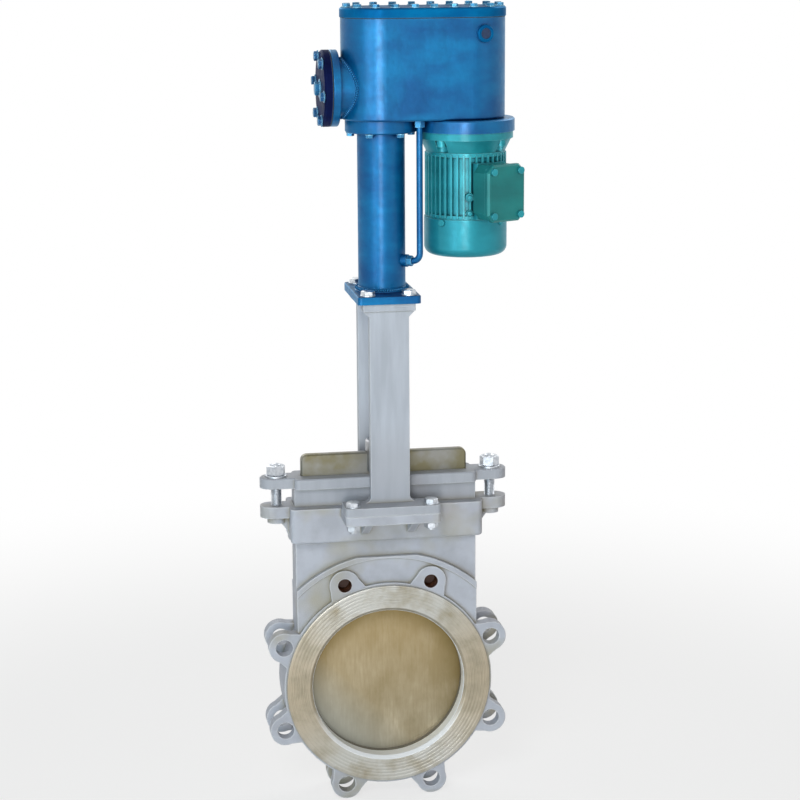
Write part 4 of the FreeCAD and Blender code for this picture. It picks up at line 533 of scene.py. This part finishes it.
# Tool marks make turned steel a satin grey and turned bronze a satin yellow.
turned_steel = metal("turned_bright_steel", "#A9ABAE", "#8C8E92", 0.34, 6, 0.02, 0.5)
bronze = metal("gear_bronze", "#B5864E", "#94693A", 0.36, 6, 0.03, 0.5)
# A die casting has a fine, dull skin.
pump_metal = metal("die_cast_aluminium", "#B3B6B8", "#9A9DA0", 0.46, 2, 0.06, 0.8)
# Thin sheets stacked along Z show as flat lines around the motor's core.
core_metal = metal("stacked_core_sheet", "#6F7276", "#54575B", 0.42, 3, 0.05, 0.4, (0.2, 0.2, 1))
# Lacquered copper wire is a deep, glossy red-brown.
copper = metal("enamelled_copper_wire", "#A4542F", "#7C3A1E", 0.35, 2, 0.1, 0.4)
# Oil and rust turn the threads in the blind holes a dull brown.
oiled_thread = metal("oiled_brown_thread", "#5A3A2A", "#3A2419", 0.5, 3, 0.05, 0.3)
print("metals", [m.name for m in (zinc, chrome, bronze, copper)])

# %% The gate's stains
# Painted shadow of the bore's rim: a seat ring, a rim ring and an upper band. The low corner is a painted
# reflection of the floor.
SEAT_SHADOW = (68, 104, 0.75)
SEAT_SHADOW_RISE = (-85, -35)
RIM_SHADOW = (78, 99, 0.8)
RIM_SHADOW_RISE = (-50, 0)
UPPER_SHADOW = (-60, 60, 0.45)
LOW_LEFT = (-0.7, 0, -0.7)
FLOOR_REFLECTION_CORNER = (35, 100, 0.8)
SPRAY_FROM_TO = (200, 240)
gate_steel, tree, place, shader = start_finish("satin_stainless_gate_plate", Metallic=0.8)
radius = add(tree, "VectorMath", {0: in_plane(tree, place)}, operation="LENGTH")
seat_ring, rim_ring = [
    add(tree, "MapRange", {"Value": radius, "From Min": start * MM, "From Max": end * MM, "To Max": most})
    for start, end, most in (SEAT_SHADOW, RIM_SHADOW)]
seat_shadow = add(tree, "Math", {0: seat_ring, 1: zone(tree, place, UP, *SEAT_SHADOW_RISE)},
                operation="MULTIPLY")
seat_shadow = add(tree, "Math", {0: seat_shadow, 1: patches(tree, place, 25, 0.3, 0.6, 4, least=0.4)},
                operation="MULTIPLY")
rim_shadow = add(tree, "Math", {0: rim_ring, 1: zone(tree, place, UP, *RIM_SHADOW_RISE)},
                operation="MULTIPLY")
print("painted rim shadow from", SEAT_SHADOW[0], "to", SEAT_SHADOW[1], "mm around the bore's axis")

# %% The gate's plate
cloud = grain(tree, place, 45, 5, (1, 1, 0.6))
sanding = grain(tree, place, 3, 3, (1, 1, 0.12))
clouded = add(tree, "MapRange", {"Value": cloud, "From Min": 0.36, "From Max": 0.66})
sanded = add(tree, "MapRange", {"Value": sanding, "From Min": 0.3, "From Max": 0.8, "To Max": 0.55})
satin = add(tree, "MapRange", {"Value": cloud, "From Min": 0.3, "From Max": 0.7,
                               "To Min": 0.38, "To Max": 0.5})
sprayed = coats(tree, "#757058", (patches(tree, place, 60, 0.42, 0.6, 4), "#888883"))
# The browns of the seat, rim and upper band are painted shadow. The low corner's grey is painted reflection.
tint = coats(tree, "#B9AE95",
             (clouded, "#91866A"),
             (sanded, "#85775A"),
             (zone(tree, place, UP, *UPPER_SHADOW), "#A08650"),
             (seat_shadow, "#75653A"),
             (rim_shadow, "#7E6C42"),
             (zone(tree, place, LOW_LEFT, *FLOOR_REFLECTION_CORNER), "#989C96"),
             (zone(tree, place, UP, *SPRAY_FROM_TO), sprayed))
feed(shader, {"Base Color": tint, "Roughness": satin})
relief(tree, shader, sanding, 0.015, 1.0)
print("gate plate sprayed from", SPRAY_FROM_TO[0], "mm up")

# %% [markdown]
# ## Rubber, plastic, fibre and glass
#
# The soft and the moulded pieces are mostly hidden inside. They still get the finish of the real one:
# matt black seals, seat rubber painted a paler grey as painted light, waxy white slide strips, braided
# packing rope with a weave that can be seen, and a dark window in the level glass with oil behind it.

# %% Other materials


def moulded(name, code, shade_code, roughness, grain_mm, depth_mm, **inputs):
    """A moulded or pressed stuff, in two shades of one colour."""
    material, tree, place, shader = start_finish(name, Roughness=roughness, **inputs)
    cloud = grain(tree, place, grain_mm, 3)
    shade = add(tree, "MapRange", {"Value": cloud, "From Min": 0.35, "From Max": 0.65})
    feed(shader, {"Base Color": coats(tree, code, (shade, shade_code))})
    relief(tree, shader, cloud, depth_mm, 0.4)
    return material


# Seals are matt and black, and the seats' rubber is painted paler as painted light.
rubber = moulded("moulded_seal_rubber", "#1B1B1C", "#26262A", 0.62, 1.5, 0.05)
seat_rubber_in_painted_light = moulded("seat_rubber_painted_pale", "#7C786C", "#68645A", 0.6, 1.5, 0.05)
# Slide strips look waxy, and the fan is plain black plastic.
slide_plastic = moulded("white_slide_plastic", "#E6E4DA", "#D8D5C8", 0.45, 4, 0.03)
fan_plastic = moulded("black_fan_plastic", "#1A1C1E", "#25282B", 0.5, 2, 0.05)
# Fibre sheet is dull and flecked.
gasket_fibre = moulded("pressed_gasket_fibre", "#2B2F30", "#3B4041", 0.75, 1.2, 0.08)
# The level glass is glossy, and dark from the oil behind it.
sight_window = moulded("level_glass_window", "#17406E", "#102E55", 0.12, 8, 0.0,
                       **{"Transmission Weight": 0.06, "IOR": 1.5, "Specular IOR Level": 0.3})

# The rope's slanting, greased strands show as soft yellow-grey bands.
ROPE_PITCH = 3.0
packing, tree, place, shader = start_finish("braided_packing_rope", Roughness=0.8)
weave = add(tree, "TexWave", {"Vector": place, "Scale": WAVE_RATE / (ROPE_PITCH * MM), "Distortion": 1.5},
            wave_type="BANDS", bands_direction="DIAGONAL").outputs["Fac"]
feed(shader, {"Base Color": coats(tree, "#8F8663", (weave, "#6D6549"))})
relief(tree, shader, weave, 0.4, 0.5)
print("rope pitch", ROPE_PITCH, "mm")

# %% [markdown]
# ## Painted steel of the yoke
#
# The two yoke legs are flame-cut plate with the same silver paint as the body, but on rolled steel,
# which is smoother than a casting. Runs of the brush go up and down the legs. Near the gland, grease from
# the packing has dulled it a little.

# %% Yoke paint
GREASE_FROM_TO = (360, 310)
yoke_paint, tree, place, shader = start_finish("silver_paint_on_rolled_plate", Roughness=0.46)
runs = grain(tree, place, 14, 4, (1, 1, 0.12))
brushed = add(tree, "MapRange", {"Value": runs, "From Min": 0.38, "From Max": 0.66})
# Corners get painted shade, and outer edges get rubbed paint with a painted highlight.
shade = coats(tree, "#BCC2CB",
              (brushed, "#ACB2BB"),
              (zone(tree, place, UP, *GREASE_FROM_TO, 0.55), "#A3A5AB"),
              (painted_corner_shade(tree, 10), "#8E8A7C"),
              (rubbed_and_highlit_edges(tree, 1.6), "#D6D9DD"))
feed(shader, {"Base Color": shade})
relief(tree, shader, runs, 0.12, 1.2)
print("yoke greasy below", GREASE_FROM_TO[0], "mm")

# %% [markdown]
# ## Handing out the finishes
#
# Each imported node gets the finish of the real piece, also where a detailed piece replaces it later.

# %% Which node has which finish
FINISHES = {
    cast_body: ["valve_body"],
    yoke_paint: ["yoke_leg_front", "yoke_leg_rear", "gland_follower"],
    silver_zinc: ["gland_studs", "gland_nuts", "gland_washers", "yoke_foot_bolts", "yoke_foot_nuts"],
    zinc: ["cylinder_plate_screws", "clevis_split_pin", "tank_bolts"],
    rubber: ["piston_seals", "rod_seals", "shaft_seal"],
    seat_rubber_in_painted_light: ["seat_rings"],
    slide_plastic: ["gate_guides"],
    packing: ["packing_rings"],
    gate_steel: ["gate"],
    turned_steel: ["rod_clevis", "clevis_pin", "piston", "rotor_shaft", "motor_bearings",
                   "pump_drive_gear", "pump_idler_gear", "shaft_coupling", "suction_strainer",
                   "cap_side_pipe", "cylinder_end_cap"],
    chrome: ["piston_rod"],
    bronze: ["rod_guide"],
    tank_enamel: ["tank_shell", "oil_pipe", "motor_adapter"],
    barrel_enamel: ["cylinder_barrel"],
    lid_enamel: ["tank_lid", "level_glass_body"],
    cover_enamel_in_painted_shade: ["side_cover"],
    bolt_enamel: ["side_cover_bolts", "side_cover_plug", "pipe_union_nuts"],
    gasket_fibre: ["tank_lid_gasket", "side_cover_gasket"],
    sight_window: ["level_glass_lens"],
    pump_metal: ["pump_housing", "pump_cover", "valve_block", "rotor_core"],
    motor_enamel: ["front_end_shield", "motor_frame", "rear_end_shield", "motor_mount_screws",
                   "motor_small_screws"],
    box_enamel: ["terminal_box", "terminal_box_lid"],
    cowl_enamel: ["fan_cowl"],
    core_metal: ["stator_core"],
    copper: ["stator_windings"],
    fan_plastic: ["cooling_fan"],
}
finished = set()
for finish, names in FINISHES.items():
    for name in names:
        nodes[name].data.materials.clear()
        nodes[name].data.materials.append(finish)
        finished.add(name)
print("without a finish:", sorted(set(nodes) - finished))

# %% [markdown]
# ## Shapes that a close view shows
#
# Each new shape starts as a few points or a ball and is worked with bmesh operators. Two helpers come
# first. One turns a finished bmesh into an object that rides on its body. The other reads the box of
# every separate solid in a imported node, so that a detailed bolt lands where the plain one is.

# %% From bmesh to object
DOUBLES = 0.002 * MM
SMOOTH_BELOW = math.radians(35)


def finish_piece(name, bm, finish, body="root", replaced=()):
    """Closes a bmesh, makes it an object on its body with its finish, and hides the imported parts that it
    stands in for.
    """
    bmesh.ops.remove_doubles(bm, verts=bm.verts, dist=DOUBLES)
    bmesh.ops.recalc_face_normals(bm, faces=bm.faces)
    mesh = bpy.data.meshes.new(name)
    bm.to_mesh(mesh)
    bm.free()
    mesh.shade_smooth()
    mesh.set_sharp_from_angle(angle=SMOOTH_BELOW)
    mesh.materials.append(finish)
    piece = bpy.data.objects.new(name, mesh)
    scene.collection.objects.link(piece)
    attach(piece, body)
    if replaced:
        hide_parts(*replaced)
    print(name, len(mesh.polygons), "faces")


def solid_boxes(name):
    """The lowest and highest corner, in millimetres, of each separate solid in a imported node."""
    bm = bmesh.new()
    bm.from_mesh(nodes[name].data)
    bmesh.ops.remove_doubles(bm, verts=bm.verts, dist=DOUBLES)
    bm.verts.ensure_lookup_table()
    seen = set()
    boxes = []
    for start in bm.verts:
        if start in seen:
            continue
        seen.add(start)
        reached = [start]
        for vert in reached:
            for edge in vert.link_edges:
                other = edge.other_vert(vert)
                if other not in seen:
                    seen.add(other)
                    reached.append(other)
        low = Vector([min(v.co[i] for v in reached) for i in range(3)]) / MM
        high = Vector([max(v.co[i] for v in reached) for i in range(3)]) / MM
        boxes.append((low, high))
    bm.free()
    return boxes


print("lid and flange bolts in the packed model:", len(solid_boxes("tank_bolts")))

# %% Turning shapes on a lathe, and putting them in place
CUT = 0.0001 * MM


def lathe(outline, steps=48, closed=True):
    """Spins an outline of (radius, height) points, in millimetres, once around Z."""
    bm = bmesh.new()
    verts = [bm.verts.new((radius * MM, 0, height * MM)) for radius, height in outline]
    pairs = list(zip(verts, verts[1:]))
    if closed:
        pairs.append((verts[-1], verts[0]))
    edges = [bm.edges.new(pair) for pair in pairs]
    bmesh.ops.spin(bm, geom=verts + edges, cent=(0, 0, 0), axis=(0, 0, 1), dvec=(0, 0, 0),
                   angle=FULL_TURN, steps=steps, use_merge=True)
    bmesh.ops.remove_doubles(bm, verts=bm.verts, dist=DOUBLES)
    return bm


def put(whole, part, at=(0, 0, 0), way=(0, 0, 1), spin=0.0):
    """Adds part to whole with its origin at a place in millimetres and its Z along way."""
    turn = Vector(way).to_track_quat("Z", "X").to_matrix().to_4x4()
    matrix = Matrix.Translation(Vector(at) * MM) @ turn @ Matrix.Rotation(spin, 4, "Z")
    bmesh.ops.transform(part, matrix=matrix, verts=part.verts)
    carrier = bpy.data.meshes.new("carrier")
    part.to_mesh(carrier)
    part.free()
    whole.from_mesh(carrier)
    bpy.data.meshes.remove(carrier)


print("lathe ready")

# %% [markdown]
# ## Nuts and bolt heads
#
# A real hexagon head is turned first and milled to six flats after, which leaves the curved bright
# edges that everyone knows from a nut. It is made the same way here: a disc with a chamfered rim is
# spun, then six planes cut it. A nut has a bore, so its outline stays clear of the axis.

# %% Hexagon heads and nuts
CHAMFER = math.radians(30)
CHAMFER_REACH = 1.15


def hexagon(flats, height, bore=0.0, both_ends=False):
    """A head or nut. Its chamfer reaches a little in from the flats, which gives each an arched edge."""
    corner = flats / math.sqrt(3)
    slope = (corner - flats / 2) * CHAMFER_REACH
    drop = slope * math.tan(CHAMFER)
    foot = [(corner - slope, 0), (corner, drop)] if both_ends else [(corner, 0)]
    outline = [(bore, 0)] + foot + [(corner, height - drop), (corner - slope, height), (bore, height)]
    bm = lathe(outline, closed=bore > 0)
    for step in range(6):
        angle = math.radians(30 + 60 * step)
        normal = Vector((math.cos(angle), math.sin(angle), 0))
        geometry = bm.verts[:] + bm.edges[:] + bm.faces[:]
        cut = bmesh.ops.bisect_plane(bm, geom=geometry, dist=CUT, plane_co=normal * flats / 2 * MM,
                                     plane_no=normal, clear_outer=True)
        rim = [item for item in cut["geom_cut"] if isinstance(item, bmesh.types.BMEdge)]
        bmesh.ops.edgeloop_fill(bm, edges=rim)
    return bm


def washer(outer, inner, dark_top_share):
    """A washer between two radii, with its upper rim broken."""
    edge = dark_top_share * 0.2
    foot = [(inner, 0), (outer, 0)]
    rim = [(outer, dark_top_share - edge), (outer - edge, dark_top_share)]
    return lathe(foot + rim + [(inner, dark_top_share)], 32)


CLEARANCE = 0.2
OVERLAP = 0.1
POINT = 0.5


def bolt(flats, head, shank, reach, washer_outer, washer_height):
    """A bolt with its washer. Z points out of the head and z = 0 is the surface that it clamps."""
    bm = bmesh.new()
    put(bm, washer(washer_outer, shank + CLEARANCE, washer_height))
    put(bm, hexagon(flats, head - washer_height), at=(0, 0, washer_height))
    top = washer_height + OVERLAP
    outline = [(0, -reach), (shank - POINT, -reach), (shank, -reach + POINT), (shank, top), (0, top)]
    put(bm, lathe(outline, 24, closed=False))
    return bm


print("a nut with 22 mm flats has corners at", round(22 / math.sqrt(3), 2), "mm")

# %% Where fasteners sit
SPIN_STEP = 37


def seats(node, way, head, only=None):
    """Where each head of a node rests: head millimetres below the end that points along way."""
    found = []
    for low, high in solid_boxes(node):
        if only and not only(low, high):
            continue
        middle = (low + high) / 2
        end = max(low.dot(way), high.dot(way))
        found.append(middle + way * (end - head - middle.dot(way)))
    return found


def fastened(name, places, way, make, finish, replaced):
    """One piece that holds the same fastener at each place, each turned a little differently."""
    whole = bmesh.new()
    for number, place in enumerate(places):
        put(whole, make(), at=place, way=way, spin=math.radians(SPIN_STEP * number))
    finish_piece(name, whole, finish, replaced=replaced)


print("each head is turned", SPIN_STEP, "degrees further than the one before")

# %% [markdown]
# ## The bolts that show
#
# The lid is held by twenty small bolts and the tank stands on six more, brushed over with the tank's
# enamel. The cover at the side has six bolts in a darker blue as painted shade, and a plug. Each gets a
# washer, a chamfered head and a shank as deep as the imported one, and no two heads are turned alike.

# %% Tank and cover bolts
DOWN = -UP
LEFT = Vector((-1, 0, 0))
M6_HEAD = 4.5
M8_HEAD = 5.5
LID_REACH = 16.0


def small_bolt():
    return bolt(flats=8.6, head=M6_HEAD, shank=2.8, reach=LID_REACH, washer_outer=5.6, washer_height=0.9)


def cover_bolt():
    return bolt(flats=10.5, head=M8_HEAD, shank=3.8, reach=16.0, washer_outer=7.4, washer_height=1.2)


tank_middle = (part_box("tank_shell")[0].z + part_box("tank_shell")[1].z) / 2 / MM
lid_seats = seats("tank_bolts", UP, M6_HEAD, lambda low, high: high.z > tank_middle)
flange_seats = seats("tank_bolts", DOWN, M6_HEAD, lambda low, high: high.z < tank_middle)
fastened("lid_bolts_painted", lid_seats, UP, small_bolt, bolt_enamel, ["tank_bolts"])
fastened("tank_foot_bolts", flange_seats, DOWN, small_bolt, bolt_enamel, ["tank_bolts"])
cover_seats = seats("side_cover_bolts", LEFT, M8_HEAD)
fastened("cover_bolts_painted", cover_seats, LEFT, cover_bolt, cover_bolt_enamel_in_painted_shade,
         ["side_cover_bolts"])
print(len(lid_seats), "lid bolts,", len(flange_seats), "under the tank,", len(cover_seats), "on the cover")

# %% Plug in the middle of the cover
PLUG_HEIGHT = 7.0
PLUG_RING = 1.2
PLUG_SHANK = [(0, -9.0), (7.2, -9.0), (7.8, -8.4), (7.8, 1.3), (0, 1.3)]
PLUG_SPIN = math.radians(12)
plug = bmesh.new()
seat = seats("side_cover_plug", LEFT, PLUG_HEIGHT)[0]
put(plug, washer(11.5, 7.0, PLUG_RING), at=seat, way=LEFT)
put(plug, hexagon(15.0, PLUG_HEIGHT - PLUG_RING), at=seat + LEFT * PLUG_RING, way=LEFT, spin=PLUG_SPIN)
put(plug, lathe(PLUG_SHANK, 32, closed=False), at=seat, way=LEFT)
finish_piece("cover_plug_hexagon", plug, bolt_enamel, replaced=["side_cover_plug"])

# %% Bolts of the cylinder plate and of the yoke's feet
M10_FLATS = 15.5
M10_WASHER = 9.6
M10_NUT = 8.4
NUT_WASHER_HEIGHT = 1.6
PLATE_REACH = 18.0


def large_bolt(reach):
    return bolt(flats=M10_FLATS, head=M10_HEAD, shank=4.9, reach=reach, washer_outer=M10_WASHER,
                washer_height=1.4)


def foot_nut():
    bm = washer(M10_WASHER, 5.2, NUT_WASHER_HEIGHT)
    put(bm, hexagon(M10_FLATS, M10_NUT - NUT_WASHER_HEIGHT, bore=5.1, both_ends=True),
        at=(0, 0, NUT_WASHER_HEIGHT))
    return bm


plate_seats = seats("cylinder_plate_screws", UP, M10_HEAD)
fastened("plate_bolts_zinc", plate_seats, UP, lambda: large_bolt(PLATE_REACH), zinc,
         ["cylinder_plate_screws"])
foot_low, foot_high = solid_boxes("yoke_foot_bolts")[0]
foot_reach = foot_high.z - foot_low.z - M10_HEAD
foot_seats = seats("yoke_foot_bolts", UP, M10_HEAD)
fastened("foot_bolts_silver", foot_seats, UP, lambda: large_bolt(foot_reach), silver_zinc,
         ["yoke_foot_bolts"])
nut_seats = [Vector((seat.x, seat.y, high.z)) for seat, (low, high) in
             zip(seats("yoke_foot_nuts", DOWN, M10_NUT), solid_boxes("yoke_foot_nuts"))]
fastened("foot_nuts_silver", nut_seats, DOWN, foot_nut, silver_zinc, ["yoke_foot_nuts"])
print("foot bolts reach", round(foot_reach, 1), "mm below their heads")

# %% [markdown]
# ## The two gland studs
#
# The studs squeeze the packing, so they are tightened now and then and their threads stay bare. A thread
# is one tooth turned and lifted: spin takes a small step up with each step round. The top of a stud is
# domed, as it is in the photograph, and the nut stands on a thick washer.

# %% Threaded studs with domed tops
PITCH = 2.0
STEPS_ROUND = 20
STUD_RADIUS = 7.0
THREAD_DEPTH = 1.1
CORE_RADIUS = STUD_RADIUS - 1.0
DOME = 3.4
DOME_CURVE = ((1.0, 0.0), (0.92, 0.4), (0.7, 0.72), (0.38, 0.94))


def thread(major, depth, length):
    """One closed body: the tooth's outline climbs around Z, then both ends are filled."""
    bm = bmesh.new()
    outline = [(major - depth, 0), (major, PITCH * 0.42), (major, PITCH * 0.58), (major - depth, PITCH)]
    verts = [bm.verts.new((radius * MM, 0, height * MM)) for radius, height in outline]
    edges = [bm.edges.new(pair) for pair in zip(verts, verts[1:])]
    turns = round(length / PITCH) - 1
    bmesh.ops.spin(bm, geom=verts + edges, cent=(0, 0, 0), axis=(0, 0, 1),
                   dvec=(0, 0, PITCH * MM / STEPS_ROUND), angle=FULL_TURN * turns, steps=STEPS_ROUND * turns)
    bmesh.ops.remove_doubles(bm, verts=bm.verts, dist=DOUBLES)
    bmesh.ops.holes_fill(bm, edges=[edge for edge in bm.edges if edge.is_boundary], sides=0)
    return bm


studs = bmesh.new()
for low, high in solid_boxes("gland_studs"):
    axis_at = Vector(((low.x + high.x) / 2, (low.y + high.y) / 2, 0))
    dome_foot = high.z - DOME
    outline = [(0, low.z), (CORE_RADIUS, low.z), (CORE_RADIUS, dome_foot - 1.0),
               (STUD_RADIUS, dome_foot - 0.6)]
    outline += [(STUD_RADIUS * across, dome_foot + DOME * up) for across, up in DOME_CURVE]
    outline.append((0, high.z))
    put(studs, lathe(outline, 32, closed=False), at=axis_at)
    put(studs, thread(STUD_RADIUS, THREAD_DEPTH, dome_foot - low.z), at=axis_at + UP * low.z)
finish_piece("gland_studs_threaded", studs, silver_zinc, replaced=["gland_studs"])

# %% Gland nuts and washers
NUT_HEIGHT = 12.0
NUT_FLATS = 22.0
LEFT_SPIN = math.radians(15)
RIGHT_SPIN = math.radians(40)


def underside(low, high):
    return Vector(((low.x + high.x) / 2, (low.y + high.y) / 2, low.z))


gland_nuts = bmesh.new()
for low, high in solid_boxes("gland_nuts"):
    place = underside(low, high)
    put(gland_nuts, hexagon(NUT_FLATS, NUT_HEIGHT, bore=STUD_RADIUS + 0.2, both_ends=True), at=place,
        spin=LEFT_SPIN if place.x < 0 else RIGHT_SPIN)
finish_piece("gland_nuts_chamfered", gland_nuts, silver_zinc, replaced=["gland_nuts"])
gland_washers = bmesh.new()
for low, high in solid_boxes("gland_washers"):
    ring = washer((high.x - low.x) / 2, STUD_RADIUS + 0.5, high.z - low.z)
    put(gland_washers, ring, at=underside(low, high))
finish_piece("gland_washers_turned", gland_washers, silver_zinc, replaced=["gland_washers"])

# %% [markdown]
# ## The grooved sealing faces
#
# A flange face is turned with a spiral groove that bites into the gasket. In the photograph it shows
# as fine rings around the bore. An outline with one step for each groove is spun once around the bore's
# axis, for the front and for the rear. The rings are as coarse as they need to be to show.

# %% Grooved sealing faces
GROOVE_PITCH = 4.4
GROOVE_WIDTH = 1.5
RIDGE_HEIGHT = 0.5
RIDGE_SLOPE = 0.4
GROOVE_FLOOR = 0.04
FOOT = -0.4
GROOVES_FROM = 107.0
GROOVE_COUNT = 6

face_steel, tree, place, shader = start_finish("turned_steel_sealing_face", Roughness=0.36,
                                               Metallic=BARE_STEEL)
feed(shader, {"Base Color": face_tint(tree, place)})
relief(tree, shader, grain(tree, place, 1.5, 3), 0.03, 0.3)


def grooved_face():
    outline = [(GROOVES_FROM, FOOT)]
    for number in range(GROOVE_COUNT):
        start = GROOVES_FROM + number * GROOVE_PITCH
        end = start + GROOVE_PITCH - GROOVE_WIDTH
        outline += [(start, GROOVE_FLOOR), (start + RIDGE_SLOPE, RIDGE_HEIGHT),
                    (end - RIDGE_SLOPE, RIDGE_HEIGHT), (end, GROOVE_FLOOR)]
    outline.append((end, FOOT))
    return lathe(outline, 128)


sealing = bmesh.new()
for way in (-1, 1):
    put(sealing, grooved_face(), at=(0, way * FLANGE_FACE, 0), way=(0, way, 0))
finish_piece("sealing_face_grooves", sealing, face_steel)

# %% [markdown]
# ## Threads in the four blind holes
#
# The two holes at the top of each face are tapped, because a bolt can't pass the gate's pocket there.
# Rings with the tooth outline of a thread are close enough at this size, and spinning them is quick.

# %% Tapped holes
TAP_PITCH = 2.5
TAP_OUTER = 8.9
TAP_INNER = 7.7
TAP_DEPTH = 15.0
TAP_TOOTH = ((TAP_OUTER - 0.2, 0.1), (TAP_INNER, 0.5), (TAP_OUTER - 0.2, 0.9))
HOLE_FACE = 24.0


def tapped_rings():
    outline = [(TAP_OUTER, 0)]
    for number in range(int(TAP_DEPTH / TAP_PITCH)):
        start = -number * TAP_PITCH
        outline += [(radius, start - TAP_PITCH * share) for radius, share in TAP_TOOTH]
    outline.append((TAP_OUTER, -TAP_DEPTH))
    return lathe(outline, 32)


threads = bmesh.new()
for way in (-1, 1):
    for side in (-1, 1):
        mouth = (side * hole_at.x / MM, way * HOLE_FACE, hole_at.z / MM)
        put(threads, tapped_rings(), at=mouth, way=(0, way, 0))
finish_piece("tapped_hole_threads", threads, oiled_thread)

# %% [markdown]
# ## Weld seams
#
# The neck is welded to the tank and the tube to its plate. A hand-made weld looks like a row of fish
# scales, one for each small step of the electrode. So a seam here is a row of flattened drops that
# overlap, laid along the line where the two plates meet.

# %% Fish-scale welds
SCALE_RADIUS = 2.6
SCALE_FLATNESS = 0.72


def weld(whole, path, scale_radius=SCALE_RADIUS):
    """One flattened drop for each point of a closed path, turned along the path."""
    for number, point in enumerate(path):
        along = (path[(number + 1) % len(path)] - path[number - 1]).normalized()
        drop = bmesh.new()
        bmesh.ops.create_uvsphere(drop, u_segments=10, v_segments=6, radius=scale_radius * MM)
        bmesh.ops.scale(drop, vec=(1, 1, SCALE_FLATNESS), verts=drop.verts)
        put(whole, drop, at=point, way=along)


def ring_path(radius, height):
    """Points around the Z axis, a little over half a scale apart, so that the scales overlap."""
    count = round(FULL_TURN * radius / (SCALE_RADIUS * 1.1))
    turns = [FULL_TURN * step / count for step in range(count)]
    return [Vector((radius * math.cos(turn), radius * math.sin(turn), height)) for turn in turns]


print("a scale is", 2 * SCALE_RADIUS, "mm across")

# %% The two seams
TANK_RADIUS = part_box("tank_lid_gasket")[1].y / MM
cover_low, cover_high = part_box("side_cover")
NECK_HEIGHT = (cover_low.z + cover_high.z) / 2 / MM
NECK_RADIUS = 36.0
NECK_STAND_OFF = 0.6
TUBE_SEAM_RADIUS = 32.4
TUBE_SEAM_RISE = 2.6
TUBE_SCALE = 2.3
neck_path = []
for point in ring_path(NECK_RADIUS, 0):
    tank_wall = -math.sqrt(TANK_RADIUS ** 2 - point.y ** 2)
    neck_path.append(Vector((tank_wall - NECK_STAND_OFF, point.y, NECK_HEIGHT + point.x)))
seams = bmesh.new()
weld(seams, neck_path)
weld(seams, ring_path(TUBE_SEAM_RADIUS, PLATE_TOP + TUBE_SEAM_RISE), TUBE_SCALE)
finish_piece("weld_seams", seams, weld_enamel)
print("neck welded at", round(NECK_HEIGHT, 1), "mm, on a tank of radius", round(TANK_RADIUS, 1))

# %% [markdown]
# ## Earth screws on the motor
#
# Between the fins and the terminal box the photograph shows a small round boss with a screw in it, and a
# second one below. Each is a short turned stem that grows out of the frame, with a pan head on top. A
# screw is given as its height, the radius of its stem and how far it stands out.

# %% Earth screws
motor_low, motor_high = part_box("fan_cowl")
MOTOR_X = (motor_low.x + motor_high.x) / 2 / MM
FRAME_RADIUS = 46.5
BOSS_TURN = math.radians(-5.5)
PAN_HEAD = [(0, -1), (3.4, -1), (3.4, 1.2), (2.6, 2.2), (0, 2.4)]
UPPER_SCREW = (638.0, 5.6, 8.5)
LOWER_SCREW = (618.0, 4.6, 7.0)
boss_way = Vector((math.sin(BOSS_TURN), -math.cos(BOSS_TURN), 0))


def earth_screw(stem, reach):
    """A stem with a chamfer, and a pan head on it. Z = 0 is the frame's wall."""
    bm = lathe([(0, -2), (stem, -2), (stem, reach - 1), (stem - 1, reach), (0, reach)], 32, closed=False)
    put(bm, lathe(PAN_HEAD, 32, closed=False), at=(0, 0, reach))
    return bm


screws = bmesh.new()
for height, stem, reach in (UPPER_SCREW, LOWER_SCREW):
    wall = Vector((MOTOR_X, 0, height)) + boss_way * FRAME_RADIUS
    put(screws, earth_screw(stem, reach), at=wall, way=boss_way)
finish_piece("motor_earth_screws", screws, motor_enamel)
